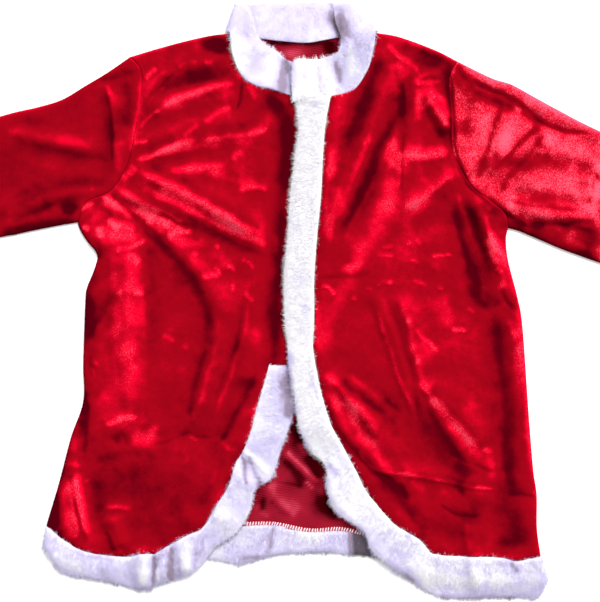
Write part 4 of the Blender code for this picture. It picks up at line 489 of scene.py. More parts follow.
strokesSleeveLeft = [
    ((1.8, 2.6), 0, -1.3, 210, 323, 3, -28, 1, -30, 2, -40, 7, -30, 12, -31, 20, -20, 19, -15, 14, -7),
    ((3.5, 4.2), 0, -0.9, 291, 111, 31, -6, 42, 0, 56, -8),
    ((8, 7), 0.6, 0.25, 224, 327, 23, -10, 24, -12, 23, -10, 28, -11, 30, -17, 35, -16, 33, -12),
    ((3, 3.5), -1.8, -1.3, 224, 312, 14, -5, 21, -9, 26, -11, 18, -10, 19, -14, 19, -14, 14, -7, 18, -5, 24,
     -2, 28, -3),
    (3, -0.4, -0.4, 292, 304, 3, -16), ((12, 8), -1.1, -0.42, 224, 293, 5, -28, 2, -21, -6, -23),
    ((5, 9), -1.1, -0.8, 238, 295, 23, -14, 24, -4, 18, -10),
    ((4, 7), -0.9, -0.7, 303, 265, 21, -9, 17, -12),
    ((2.8, 3.6), -1.4, -0.85, 285, 284, -5, -19, -7, -16, -7, -24, -7, -23, -7, -23, -5, -19),
    (3.5, -0.8, -0.85, 341, 242, -17, -7, -16, -14, -14, -17, -9, -11),
    ((3.5, 4.5), -1.8, -1.1, 341, 237, -12, -21, -16, -21, -17, -19, -11, -16, -12, -19),
    (4, 1, -0.3, 324, 225, -16, -21, -19, -18), (8, -1.2, -0.45, 261, 204, 19, -7, 21, -7),
    (7, -1.4, -0.55, 315, 202, 26, -5, 23, 2, 28, -9, 28, -4), (8, -1.2, -0.45, 378, 188, 19, -7, 23, -2),
    (5, -0.6, -0.3, 327, 216, 14, -5, 4, -23), (7, -1, -0.4, 238, 188, 9, -12, 3, -9),
    (8, -1.6, -0.6, 289, 155, 28, -4, 28, -3, 33, -7, 19, -9),
    (3, -1.5, -1, 420, 181, -9, -16, -5, -14, -3, -20), (6, -1, -0.45, 392, 172, 5, -21, 0, -19),
    (8, -1.1, -0.4, 387, 225, 33, -9),
    ((3.2, 3.5), -0.7, -1.1, 216, 202, 6, -19, 11, -18, 10, -14, 14, -14, 14, -10, 18, -7, 26, -9),
    (3, -0.7, -0.7, 289, 141, 28, -9, 35, -2, 26, -3, 19, -2),
    (6, 1.6, -0.25, 317, 120, 24, -2, 23, -3, 35, 0),
    ((3, 3.5), -1.4, -1, 313, 109, 28, -2, 37, 1, 23, 3, 19, 2),
    (14, 0, -1.05, 313, 102, 28, -10, 23, -11, 23, -14, 33, -12), (5, 0.9, 0.5, 338, 101, 14, 2, 12, -9),
    (5, 0.9, 0.4, 362, 84, 25, -8, 15, -3), (5, 0.8, 0.42, 374, 99, 12, -2),
    (8, -1.3, -0.5, 273, 104, 21, -7, 19, -12), (5, -2.2, -0.9, 445, 211, -17, -56, -8, -64),
    (5, -1.8, -0.6, 476, 190, -25, -49), ((7, 5), 2, 0.35, 515, 181, 31, -54, 14, -56),
    ((8, 6), 2, 0.3, 588, 141, 56, -56, 56, -39), ((5, 6), -1.8, -0.6, 490, 85, 70, -30, 98, -40),
    ((3.5, 5), -1.6, -0.9, 448, 223, 84, -42, 112, -48, 84, -42),
    (11.2, 0.3, 0.32, 266, 211, 42, 16, 59, -2), (7, -0.5, -0.5, 231, 186, 49, 4, 98, -7),
    (9.8, 0.4, 0.5, 287, 158, 63, -5, 76, -7), (11.2, 0, 0.3, 319, 127, 45, -16),
    (16.8, 0, -0.7, 385, 91, 41, -11), (7, 0, -0.5, 266, 120, 28, -11, 28, -11),
    ((5.6, 7), 0, -0.35, 227, 304, 25, -14, 49, -25), (7, 0, -0.45, 286, 276, 15, -11),
    (8.4, 0.3, 0.4, 272, 200, 33, 9, 34, 0), (8.4, -0.3, -0.5, 347, 193, 37, -7),
    (5, -0.4, -0.4, 297, 141, 53, -4), ((7, 8.4), 0.3, 0.4, 305, 125, 73, -14),
    (14, 0, -0.7, 378, 97, 48, -12), (7, 0, -0.5, 287, 97, 49, -17), (7, 0, -0.7, 217, 335, 18, -31),
    (14, 0, 0.5, 409, 175, 5, -41), (5.6, 0.3, 0.4, 284, 133, 27, -3),
    ((9.8, 8.4), 0, -0.4, 227, 304, 7, -28, 1, -28, -8, -31), (5.6, 0, -0.6, 217, 329, 28, -36),
    (2, -0.6, -0.7, 333, 248, -31, -34, -25, -25, -22, -25), (4.9, 0, -0.25, 279, 195, 18, 5, 22, 11),
    (4.2, -0.4, -0.8, 260, 147, 27, -25, 35, -20), (8.4, 0, 0.35, 262, 265, -9, -54),
    (8.4, 0, 0.35, 290, 253, -10, -42), (11.2, 0, 0.3, 336, 231, 28, -20, 45, 0),
    (7, 0, 0.5, 416, 197, -7, -56, 5, -49), (7, 0, 0.4, 280, 136, 31, -13), (5.6, 0, -0.5, 301, 91, 42, -11),
    (7, 0, 0.4, 227, 293, 3, -45), (7, 0, -0.35, 263, 287, 24, -11), (7, 0, -0.35, 315, 144, 49, -5),
    ((8.4, 7), 0, -0.5, 399, 111, 18, -9), (2.8, 0, -0.5, 336, 211, -21, -28, -25, -28),
    (5.6, 0, -0.4, 287, 273, 21, -14), (4.2, 0, -0.45, 214, 318, 13, -23),
    ((7, 5.6), 0, -0.6, 297, 94, 25, -10, 28, -8), (5.6, 0, -0.5, 385, 71, 32, -16),
    (7, 0, 0.4, 280, 169, 28, -5), (7, 0, 0.3, 273, 200, 63, 3),
]
strokesInside = [
    (8.4, -0.5, -0.7, -10, -164, 4, -19, 10, -20),
    ((3.5, 4.9), 1.2, 0.9, -22, -206, 16, -17, 17, -16, 16, -17), (2.2, 0.5, 0.6, 8, -251, 7, -8, 6, -7),
    ((8.4, 3.5), -0.8, -0.85, 4, -213, 14, -18, 13, -20),
    ((2.8, 4.2), -0.5, -0.35, -22, -220, 16, -17, 19, -18), (2.1, -0.4, -0.4, -34, -252, 20, -3, 21, -7),
    (8.75, 0.84, 0.36, -46, -251, 11, -18, 18, -17, 21, -14),
    ((11.2, 9.8), -1, -0.85, 22, -265, 14, -22, 23, -22),
    ((2.1, 2.8), -0.8, -0.8, -55, -260, 2, -19, 1, -19), (4.2, 0.3, 0.35, -67, -286, 11, -7, 14, -11),
    (3.5, -0.5, -0.35, -42, -276, 14, -17, 17, -11), (4.38, 0.28, 0.18, -14, -274, 14, -14, 17, -14),
    (3.4, -0.6, -0.7, -53, 362, 53, -3, 56, 3), (9, 0, 0.4, -46, 354, 32, -6, 34, 2),
    ((7, 5.6), 0.3, 0.15, -31, 351, 17, -8, 14, 0), ((9.8, 12.6), -1.2, -0.7, 28, 351, 17, 3, 10, 6),
    (11.2, 0, 0.3, -56, -223, 36, -42), (11.2, 0, -0.4, 14, -234, 11, -45),
    (9.8, 0.3, 0.25, -25, 354, 36, -5), (2.2, 0.4, 0.35, -22, -203, 22, -24, 27, -31),
    (1.7, 0.3, 0.5, 6, -251, 14, -15), ((4.2, 5.6), -0.3, -0.5, -14, -195, 20, -25, 25, -31),
    ((5.6, 4.2), -0.3, -0.45, -28, -211, 17, -26, 19, -30), (12.6, 0, -0.2, 0, -267, 25, -19, 24, -21),
    (5.6, 0.3, 0.15, -53, -248, 19, -25, 34, -34),
]


def smoothed(spots, perSpan=12):  # Catmull-Rom cubics, with slopes (next - last) / 2
    p = np.array(spots, float)
    p = np.vstack([2 * p[0] - p[1], p, 2 * p[-1] - p[-2]])
    t = np.linspace(0, 1, perSpan, endpoint=False)[:, None]
    spans = [
        0.5 * (2 * b + (c - a) * t + (2 * a - 5 * b + 4 * c - d) * t**2 + (3 * b - a - 3 * c + d) * t**3)
        for a, b, c, d in zip(p[:-3], p[1:-2], p[2:-1], p[3:])
    ]
    return np.vstack(spans + [p[-2:-1]])


def lengths(line):  # the way along a line to each of its points: the sum of its steps
    return np.concatenate([[0], np.cumsum(np.linalg.norm(np.diff(line, axis=0), axis=1))])


def atMarks(line, along, marks):  # points at given ways along a line, straight between its own points
    return np.stack([np.interp(marks, along, line[:, k]) for k in range(line.shape[1])], axis=1)


def seam(name, steps, evenness=1.0):  # points at e s + (1 - e) s^2 of a seam's length
    line = smoothed(seams[name])
    along = lengths(line)
    s = np.linspace(0, 1, steps + 1)
    return atMarks(line, along, along[-1] * (evenness * s + (1 - evenness) * s**2))


def bandEdges(name, steps):  # sewn and free edge as matching points
    table = np.array(bands[name], float)
    sewn, free = smoothed(table[:, :2]), smoothed(table[:, 2:])
    along = lengths(sewn)
    marks = np.linspace(0, along[-1], steps + 1)
    return atMarks(sewn, along, marks), atMarks(free, along, marks)


def joined(*lines):  # one line after the other, with the point that they share once
    return np.vstack([lines[0]] + [line[1:] for line in lines[1:]])


def nearestTo(xy, lines):  # distance to the nearest of some lines
    return np.min([distanceTo(xy, line) for line in lines], axis=0)


def distanceTo(xy, line):  # the least distance to its spans, each from the foot of the perpendicular
    start, run = line[:-1], np.diff(line, axis=0)
    near = np.full(xy.shape[:-1], 1e9)
    for a, r in zip(start, run):
        away = xy - a
        share = np.clip((away @ r) / max(r @ r, 1e-9), 0, 1)
        near = np.minimum(near, ((away - share[..., None] * r) ** 2).sum(-1))
    return np.sqrt(near)


def patch(bottom, top, left, right):  # Coons patch: the two ruled surfaces less the bilinear one
    u = ((lengths(bottom) / lengths(bottom)[-1] + lengths(top) / lengths(top)[-1]) / 2)[None, :, None]
    v = ((lengths(left) / lengths(left)[-1] + lengths(right) / lengths(right)[-1]) / 2)[:, None, None]
    ruled = (1 - v) * bottom[None] + v * top[None] + (1 - u) * left[:, None] + u * right[:, None]
    corners = (1 - v) * ((1 - u) * bottom[0] + u * bottom[-1]) + v * ((1 - u) * top[0] + u * top[-1])
    return ruled - corners


def withRims(grid, sides="btlr"):  # extra lines close to the sides, where the cloth turns down
    shares = np.array([0.22, 0.55])[:, None, None]
    if "b" in sides:
        grid = np.concatenate([grid[:1], grid[:1] + shares * (grid[1:2] - grid[:1]), grid[1:]])
    if "t" in sides:
        grid = np.concatenate([grid[:-1], grid[-1:] + shares[::-1] * (grid[-2:-1] - grid[-1:]), grid[-1:]])
    if "l" in sides:
        grid = withRims(grid.transpose(1, 0, 2), "b").transpose(1, 0, 2)
    if "r" in sides:
        grid = withRims(grid.transpose(1, 0, 2), "t").transpose(1, 0, 2)
    return grid


def eased(value):  # s^2 (3 - 2 s), from 0 to 1 and level at both
    s = np.clip(value, 0, 1)
    return s * s * (3 - 2 * s)


def below(ramp, value):  # 0 above a ramp's start, easing to 1 at its width below it
    start, width = ramps[ramp]
    return eased((start - value) / width)


def rounded(distance, width):  # quarter circle, from 0 at an edge to 1 at the width
    return np.sqrt(1 - (1 - np.clip(distance / width, 0, 1)) ** 2)


def foldHeight(xy, folds):  # sum of bells exp(-(d / width)^2) across bowed lines, fading at both ends
    height = np.zeros(xy.shape[:-1])
    for x0, y0, x1, y1, bow, left, right, rise in folds:
        run = np.array([x1 - x0, y1 - y0], float)
        size = np.hypot(*run)
        away = xy - (x0, y0)
        along = (away @ run) / size**2
        across = (away[..., 1] * run[0] - away[..., 0] * run[1]) / size - 4 * bow * along * (1 - along)
        bell = np.exp(-((across / np.where(across > 0, left, right)) ** 2))
        height += rise * bell * eased(along / 0.22) * eased((1 - along) / 0.3)
    return height


brush = {
    "bend": (10, (91, 92)), "uneven": (22, 93, 0.95, 0.22),  # size and seeds; and mean and share
    "fades": (0.15, 0.2),  # least shares of a line that its start and its end take to fade
    "fadeByWidth": 1.4, "narrowEnd": 0.45, "skirtShare": 0.28, "skirtLength": 70,
}


def strokesOver(xy, table, wander=1.2, skirt=9):
    # relief and brushing, whose values are painted shade and highlight, and for the plush painted shade:
    # bells exp(-(d / width)^2) across smoothed lines, narrower and fading at both ends. The brushing also
    # has a soft skirt, this much wider than the bell. Noise bends the lines a little and makes them uneven.
    both = np.zeros(xy.shape[:-1] + (2,))
    size, seeds = brush["bend"]
    xy = xy + wander * np.stack([softNoise(xy, size, seed) for seed in seeds], -1)
    size, seed, mean, most = brush["uneven"]
    uneven = mean + most * softNoise(xy, size, seed)
    for widths, rise, shadeAndBrushing, *line in table:
        left, right = np.broadcast_to(widths, 2)
        path = smoothed(np.cumsum(np.reshape(line, (-1, 2)), axis=0), 4)
        run, reach = np.diff(path, axis=0), 2.3 * (max(left, right) + skirt)
        near = ((xy > path.min(0) - reach) & (xy < path.max(0) + reach)).all(-1)
        away = xy[near][:, None] - path[:-1]
        share = np.clip((away * run).sum(-1) / (run**2).sum(-1), 0, 1)
        apart = ((away - share[..., None] * run) ** 2).sum(-1)
        spot = np.arange(len(apart)), apart.argmin(1)
        across = (run[:, 0] * away[..., 1] - run[:, 1] * away[..., 0])[spot]
        whole = lengths(path)[-1]
        along = ((lengths(path)[:-1] + share * np.hypot(*run.T)) / whole)[spot]
        begins, ends = np.clip(brush["fadeByWidth"] * max(left, right) / whole, brush["fades"], 0.5)
        fade = eased(along / begins) * eased((1 - along) / ends)
        width = np.where(across > 0, left, right) * (brush["narrowEnd"] + (1 - brush["narrowEnd"]) * fade)
        bell, wide = (fade * np.exp(-apart[spot] / w**2) for w in (width, width + skirt))
        inSkirt = brush["skirtShare"] * min(1, whole / brush["skirtLength"])
        both[near] += np.stack([rise * bell, shadeAndBrushing * ((1 - inSkirt) * bell + inSkirt * wide)], -1)
    return both[..., 0] * uneven, both[..., 1] * uneven


def softNoise(xy, size, seed):  # smooth random values from -1 to 1 on a lattice of this size
    values = np.random.default_rng(seed).uniform(-1, 1, (256, 256))
    p = xy / size + 1000
    i = np.floor(p).astype(int)
    f = p - i
    f = f * f * (3 - 2 * f)
    x, y = i[..., 0] % 256, i[..., 1] % 256
    x1, y1 = (x + 1) % 256, (y + 1) % 256
    low = values[x, y] * (1 - f[..., 0]) + values[x1, y] * f[..., 0]
    high = values[x, y1] * (1 - f[..., 0]) + values[x1, y1] * f[..., 0]
    return low * (1 - f[..., 1]) + high * f[..., 1]


def backBandThickness(xy):  # the back's band is pressed under the fronts and full between them
    between = below("fullToTheRight", -xy[..., 0]) * below("fullToTheLeft", xy[..., 0])
    return cloth["plush"] * (cloth["pressedShare"] + (1 - cloth["pressedShare"]) * between)


def support(xy):  # what a front piece lies on: the back, the back's band, or past it the floor
    x, y = xy[..., 0], xy[..., 1]
    sewnX, sewnY, freeX, freeY = np.array(bands["back"], float).T
    rise = backBandThickness(xy) + overBackBand - onBack
    onBand = rise * below("ontoBackBand", y - np.interp(x, sewnX, sewnY))
    return (onBack + onBand) * (1 - below("offBackBand", y - np.interp(x, freeX, freeY)))


straightBand = np.array([row for row in bands["leftFront"] if row[1] > -230][::-1], float)


def pressed(xy, ramp):  # 1 where the left front's band presses on the right front
    freeX = np.interp(xy[..., 1], straightBand[:, 3], straightBand[:, 2])
    return below(ramp, freeX - xy[..., 0]) * (1 - below("pressingEnds", xy[..., 1]))


def leftLift(xy):  # what the right front and its band lift the left band by
    x, y = xy[..., 0], xy[..., 1]
    lift = onRightFront + (onRightBand - onRightFront) * below("ontoRightBand", y)
    beside = below("besideLeftBand", x - np.interp(y, straightBand[:, 1], straightBand[:, 0]))
    return lift * (1 - below("offRightBand", y)) * beside


outlines = {
    side: [smoothed(seams[part + side], 6) for part in ("side", "shoulder", "sleeveTop", "sleeveUnder")]
    for side in ("Right", "Left")
}
halves = {
    "Right": (foldsRight, strokesRight + strokesSleeveRight),
    "Left": (foldsLeft, strokesLeft + strokesSleeveLeft),
}


def standing(xy, side, seamLines=()):
    # an upper layer's height over the lower one: its loft, a quarter circle in from the outline and
    # the seams, with folds, creases and unevenness, which are lower at the outline
    folds, strokes = halves[side]
    atOutline = rounded(nearestTo(xy, outlines[side]), cloth["loftWidth"])
    loft = cloth["loft"] * atOutline
    for line in seamLines:
        near = rounded(distanceTo(xy, line), cloth["loftWidth"])
        loft = np.minimum(loft, cloth["seamRise"] + (cloth["loft"] - cloth["seamRise"]) * near)
    fine = sum(height * softNoise(xy, size, seed) for size, seed, height in cloth["finest"])
    share = cloth["foldAtEdge"] + (1 - cloth["foldAtEdge"]) * atOutline
    relief = strokesOver(xy, strokes)[0]
    return np.maximum(loft + (foldHeight(xy, folds) + relief + fine) * share, 0)


napAndLight = {
    "across": 0.45, "upward": 0.9,  # how far a slope to the right, and one up the cloth, faces the light: painted light and shade
    "patches": ((46, 0, 0.14), (19, 1, 0.08)),  # random brushing: size, number after the seed, and share
    "laidDark": 0.75,  # share of a dark brushing, which is painted shade
    "most": 1.25,
}


def napAndLightOf(xy, z, seed, strokes):
    # painted light and shade: how far the slopes dz/dx and dz/dy, on a grid that isn't square, face
    # the light, each with its share, and the brushing, which is random patches and strokes
    dz = np.gradient(z)
    dx = [np.gradient(xy[..., k]) for k in (0, 1)]
    det = dx[0][0] * dx[1][1] - dx[0][1] * dx[1][0]
    det = np.where(np.abs(det) < 1e-6, 1e-6, det)
    slopeX = (dz[0] * dx[1][1] - dz[1] * dx[1][0]) / det
    slopeY = (dx[0][0] * dz[1] - dx[0][1] * dz[0]) / det
    # painted light: slopes that face the light from the upper right come out brighter, the others darker
    facing = -(napAndLight["across"] * slopeX + napAndLight["upward"] * slopeY)
    patches = sum(share * softNoise(xy, size, seed + k) for size, k, share in napAndLight["patches"])
    stroked = strokesOver(xy, strokes)[1]
    # the strokes' brushing paints shade in the creases and highlight and pink sheen on the ridges
    brushed = patches + np.where(stroked < 0, napAndLight["laidDark"], 1.0) * stroked
    return facing, np.minimum(brushed, napAndLight["most"])


def makeMesh(name, vertices, faces, materials, faceMaterials=None, attributes=None):
    mesh = bpy.data.meshes.new(name)
    faces = np.asarray(faces)
    mesh.vertices.add(len(vertices))
    mesh.vertices.foreach_set("co", np.asarray(vertices, np.float32).ravel())
    corners = faces.shape[1]
    mesh.loops.add(faces.size)
    mesh.loops.foreach_set("vertex_index", faces.ravel().astype(np.int32))
    mesh.polygons.add(len(faces))
    mesh.polygons.foreach_set("loop_start", np.arange(0, faces.size, corners, dtype=np.int32))
    mesh.polygons.foreach_set("loop_total", np.full(len(faces), corners, np.int32))
    for material in materials:
        mesh.materials.append(material)
    if faceMaterials is not None:
        mesh.polygons.foreach_set("material_index", np.asarray(faceMaterials, np.int32))
    for key, values in (attributes or {}).items():
        mesh.attributes.new(key, "FLOAT", "POINT").data.foreach_set("value", np.asarray(values, np.float32))
    mesh.update(calc_edges=True)
    mesh.validate()
    mesh.shade_smooth()
    piece = bpy.data.objects.new(name, mesh)
    bpy.context.scene.collection.objects.link(piece)
    return piece


def inMetres(xy, z):  # the pattern's millimetres as metres round the frame's origin
    return np.concatenate([(xy - patternMiddle) * mm, (np.asarray(z) * mm)[..., None]], axis=-1)


def weld(grids):  # grids that share points along their sides, as one list of points and quads
    points = np.vstack([grid.reshape(-1, grid.shape[-1]) for grid in grids])
    _, kept, places = np.unique(np.round(points[:, :2], 3), axis=0, return_index=True, return_inverse=True)
    cuts = np.cumsum([grid.shape[0] * grid.shape[1] for grid in grids])[:-1]
    numbers = [part.reshape(grid.shape[:2]) for part, grid in zip(np.split(places.reshape(-1), cuts), grids)]
    quads = np.vstack([
        np.stack([i[:-1, :-1], i[:-1, 1:], i[1:, 1:], i[1:, :-1]], -1).reshape(-1, 4) for i in numbers
    ])
    edges = np.stack([quads, np.roll(quads, -1, axis=1)], -1).reshape(-1, 2).tolist()
    used = {tuple(edge) for edge in edges}
    border = np.array([edge for edge in edges if (edge[1], edge[0]) not in used])
    return points[kept], quads, border


def closed(grids):
    # cloth between two heights, with a wall all round: each grid holds x, y, top, underside and the
    # attributes' values. The underside's faces are of another kind.
    points, quads, border = weld(grids)
    n = len(points)
    start, end = border.T
    vertices = np.vstack([inMetres(points[:, :2], points[:, k]) for k in (2, 3)])
    faces = np.vstack([quads, quads[:, ::-1] + n, np.stack([start + n, end + n, end, start], -1)])
    kinds = np.repeat([0, 1, 0], [len(quads), len(quads), len(border)])
    return vertices, faces, kinds, np.tile(points[:, 4:], (2, 1)).T


def shell(name, grids, materials):
    vertices, faces, kinds, (slope, brushed) = closed(grids)
    return makeMesh(name, vertices, faces, materials, kinds, {"slope": slope, "brushed": brushed})


def turnedOut(points, faces):  # the faces of a closed surface, turned round if its volume comes out negative
    a, b, c = (points[faces[:, k]] for k in range(3))
    return faces[:, ::-1] if (a * np.cross(b, c)).sum() < 0 else faces


def setInputs(node, values):
    for key, value in values.items():
        node.inputs[key].default_value = value


def nodeGroup(name, inputs, outputs):  # an empty group with its sockets
    group = bpy.data.node_groups.new(name, "ShaderNodeTree")
    for label, kind, value in inputs:
        socket = group.interface.new_socket(label, in_out="INPUT", socket_type=kind)
        socket.default_value = value
    for label, kind in outputs:
        group.interface.new_socket(label, in_out="OUTPUT", socket_type=kind)
    return group, group.nodes.new("NodeGroupInput"), group.nodes.new("NodeGroupOutput")


def noiseNode(tree, scale, detail=2.0, roughness=0.5, stretch=(1.0, 1.0, 1.0)):  # on Object coordinates
    node = tree.nodes.new("ShaderNodeTexNoise")
    setInputs(node, {"Scale": scale, "Detail": detail, "Roughness": roughness})
    place = tree.nodes.new("ShaderNodeTexCoord")
    mapping = tree.nodes.new("ShaderNodeMapping")
    mapping.inputs["Scale"].default_value = stretch
    tree.links.new(place.outputs["Object"], mapping.inputs["Vector"])
    tree.links.new(mapping.outputs["Vector"], node.inputs["Vector"])
    return node.outputs["Fac"]


def mathNode(tree, operation, first, second=None, third=None):  # MULTIPLY_ADD is first x second + third
    node = tree.nodes.new("ShaderNodeMath")
    node.operation = operation
    for socket, value in zip(node.inputs, (first, second, third)):
        if value is None:
            continue
        if isinstance(value, (int, float)):
            socket.default_value = value
        else:
            tree.links.new(value, socket)
    return node.outputs[0]


def summed(tree, total, *terms):  # total + the sum of value x share
    for value, share in terms:
        total = mathNode(tree, "MULTIPLY_ADD", value, share, total)
    return total


def spreadNode(tree, value, low, high, toLow=0.0, toHigh=1.0):  # a value's span eased over another span
    node = tree.nodes.new("ShaderNodeMapRange")
    node.interpolation_type = "SMOOTHSTEP"
    tree.links.new(value, node.inputs["Value"])
    setInputs(node, {"From Min": low, "From Max": high, "To Min": toLow, "To Max": toHigh})
    return node.outputs["Result"]


def mixNode(tree, share, first, second):  # first (1 - share) + second share
    node = tree.nodes.new("ShaderNodeMix")
    node.data_type = "RGBA"
    for key, value in (("Factor", share), ("A", first), ("B", second)):
        if isinstance(value, (tuple, float)):
            node.inputs[key].default_value = value
        else:
            tree.links.new(value, node.inputs[key])
    return node.outputs["Result"]


def coloured(tree, level, colour, *others):  # from a colour to others, each over its span of the level
    for span, other in others:
        colour = mixNode(tree, spreadNode(tree, level, *span), colour, other)
    return colour


velvet = {
    # deep and bright are painted shade and painted highlight on the red, and sheen is a painted pink sheen
    "deep": (0.06, 0.0, 0.003, 1), "red": (0.235, 0.001, 0.006, 1), "bright": (0.63, 0.001, 0.019, 1),
    "sheen": (0.66, 0.055, 0.100, 1), "grain": 560.0, "patch": 60.0, "fibre": 1900.0,
    "bySlope": (0.62, 0.28),  # how far a slope to the light paints the red brighter, and how far it paints sheen on it,
    "byPatch": (0.7, 1.2),  # and how far the random patches do
    "byGrain": 0.35, "grainShines": (-0.05, 0.6, 0.6, 3.0),  # the more painted sheen, the more the grain shows
    "toRed": (-0.86, 0.08), "toBright": (-0.02, 0.68), "toSheen": (0.55, 1.4), "sheenShare": 0.9,
    "roughness": (0.25, 0.48),  # by the grain, and the least
    "bump": (0.5, 0.0006),  # strength, and height in metres
    "shader": {"Sheen Weight": 0.04, "Sheen Roughness": 0.35, "Sheen Tint": (1.0, 0.05, 0.12, 1),
               "Specular IOR Level": 0.0},
}


def makeVelvetGroup():
    # the colour goes from deep, painted shade, over red to bright, painted highlight, with the brushing,
    # slope to the light, patches and grain, and from there to a painted pink sheen with another sum of the
    # same
    group, given, result = nodeGroup(
        "velvetPile",
        [(label, "NodeSocketFloat", 0.0) for label in ("Slope", "Brushed", "Tone", "Shine")]
        + [("Sheen", "NodeSocketColor", velvet["sheen"])],
        [("Color", "NodeSocketColor"), ("Roughness", "NodeSocketFloat"), ("Height", "NodeSocketFloat")],
    )
    slope, brushed, tone, shine = (given.outputs[key] for key in ("Slope", "Brushed", "Tone", "Shine"))
    grain = noiseNode(group, velvet["grain"], 2.0, 0.6, stretch=(1.6, 0.8, 1.0))
    fibre = noiseNode(group, velvet["fibre"], 1.0)
    patches = mathNode(group, "SUBTRACT", noiseNode(group, velvet["patch"], 6.0, 0.68), 0.5)
    hairy = mathNode(group, "SUBTRACT", grain, 0.5)
    (bySlope, litSlopeShines), (byPatch, patchShines) = velvet["bySlope"], velvet["byPatch"]
    level = mathNode(group, "ADD", brushed, tone)
    level = summed(group, level, (slope, bySlope), (hairy, velvet["byGrain"]), (patches, byPatch))
    shining = summed(group, mathNode(group, "ADD", brushed, shine), (slope, litSlopeShines))
    showing = spreadNode(group, shining, *velvet["grainShines"])
    shining = summed(group, shining, (hairy, showing), (patches, patchShines))
    pink = mathNode(group, "MULTIPLY", spreadNode(group, shining, *velvet["toSheen"]), velvet["sheenShare"])
    red, bright = (velvet["toRed"], velvet["red"]), (velvet["toBright"], velvet["bright"])
    colour = coloured(group, level, velvet["deep"], red, bright)
    colour = mixNode(group, pink, colour, given.outputs["Sheen"])
    group.links.new(colour, result.inputs["Color"])
    rough = mathNode(group, "MULTIPLY_ADD", grain, *velvet["roughness"])
    group.links.new(rough, result.inputs["Roughness"])
    height = mathNode(group, "MULTIPLY_ADD", fibre, 0.35, grain)
    group.links.new(height, result.inputs["Height"])
    return group


def attributeNode(tree, name):
    node = tree.nodes.new("ShaderNodeAttribute")
    node.attribute_name = name
    return node.outputs["Fac"]


def bumped(tree, shader, height, strength, distance):
    bump = tree.nodes.new("ShaderNodeBump")
    setInputs(bump, {"Strength": strength, "Distance": distance})
    tree.links.new(height, bump.inputs["Height"])
    tree.links.new(bump.outputs["Normal"], shader.inputs["Normal"])


def newMaterial(name):
    material = bpy.data.materials.new(name)
    material.use_nodes = True
    return material, material.node_tree, material.node_tree.nodes["Principled BSDF"]


def placed(tree, group, attributes, values):  # a group in a material, with its attributes and values
    node = tree.nodes.new("ShaderNodeGroup")
    node.node_tree = group
    for key in attributes:
        tree.links.new(attributeNode(tree, key.lower()), node.inputs[key])
    setInputs(node, values)
    return node.outputs


def makePlain(name, colour, roughness):
    material, _, shader = newMaterial(name)
    setInputs(shader, {"Base Color": colour, "Roughness": roughness})
    return material


# tone and shine raise or lower a whole piece's painted highlight and painted sheen
def makeVelvet(name, group, tone=0.0, shine=0.0, sheen=velvet["sheen"]):
    material, tree, shader = newMaterial(name)
    pile = placed(tree, group, ("Slope", "Brushed"), {"Tone": tone, "Shine": shine, "Sheen": sheen})
    tree.links.new(pile["Color"], shader.inputs["Base Color"])
    tree.links.new(pile["Roughness"], shader.inputs["Roughness"])
    bumped(tree, shader, pile["Height"], *velvet["bump"])
    setInputs(shader, velvet["shader"])
    return material


knit = {
    # dark and light are painted shade and painted highlight on the knit's red
    "dark": (0.028, 0.0, 0.001, 1), "red": (0.235, 0.006, 0.018, 1), "light": (0.60, 0.06, 0.11, 1),
    "rib": 0.0031, "ribShare": 0.09, "slant": 0.16,  # ribs run along x, slanting and bent
    "bent": (30.0, 0.006),  # by a noise of this scale, this far
    "clouds": (28.0, 3.0), "cloud": 0.6, "even": 0.8, "toRed": (-0.75, 0.05), "toLight": (0.0, 0.8),
    "bump": (0.3, 0.0003), "shader": {"Roughness": 0.5, "Specular IOR Level": 0.0},
}


def makeKnit():
    # ribs are sin(2 pi (y + slant x + bend) / rib), and the brushing with its painted shade and
    # highlight, clouds and ribs set the colour
    material, tree, shader = newMaterial("knitWrongSide")
    place = tree.nodes.new("ShaderNodeTexCoord")
    split = tree.nodes.new("ShaderNodeSeparateXYZ")
    tree.links.new(place.outputs["Object"], split.inputs["Vector"])
    scale, bend = knit["bent"]
    bent = mathNode(tree, "MULTIPLY_ADD", noiseNode(tree, scale), bend, split.outputs["Y"])
    slant = mathNode(tree, "MULTIPLY_ADD", split.outputs["X"], knit["slant"], bent)
    ribs = mathNode(tree, "SINE", mathNode(tree, "MULTIPLY", slant, 2 * np.pi / knit["rib"]))
    cloudy = mathNode(tree, "SUBTRACT", noiseNode(tree, *knit["clouds"]), knit["even"])
    level = summed(tree, attributeNode(tree, "brushed"), (cloudy, knit["cloud"]), (ribs, knit["ribShare"]))
    red, light = (knit["toRed"], knit["red"]), (knit["toLight"], knit["light"])
    colour = coloured(tree, level, knit["dark"], red, light)
    tree.links.new(colour, shader.inputs["Base Color"])
    bumped(tree, shader, ribs, *knit["bump"])
    setInputs(shader, knit["shader"])
    return material


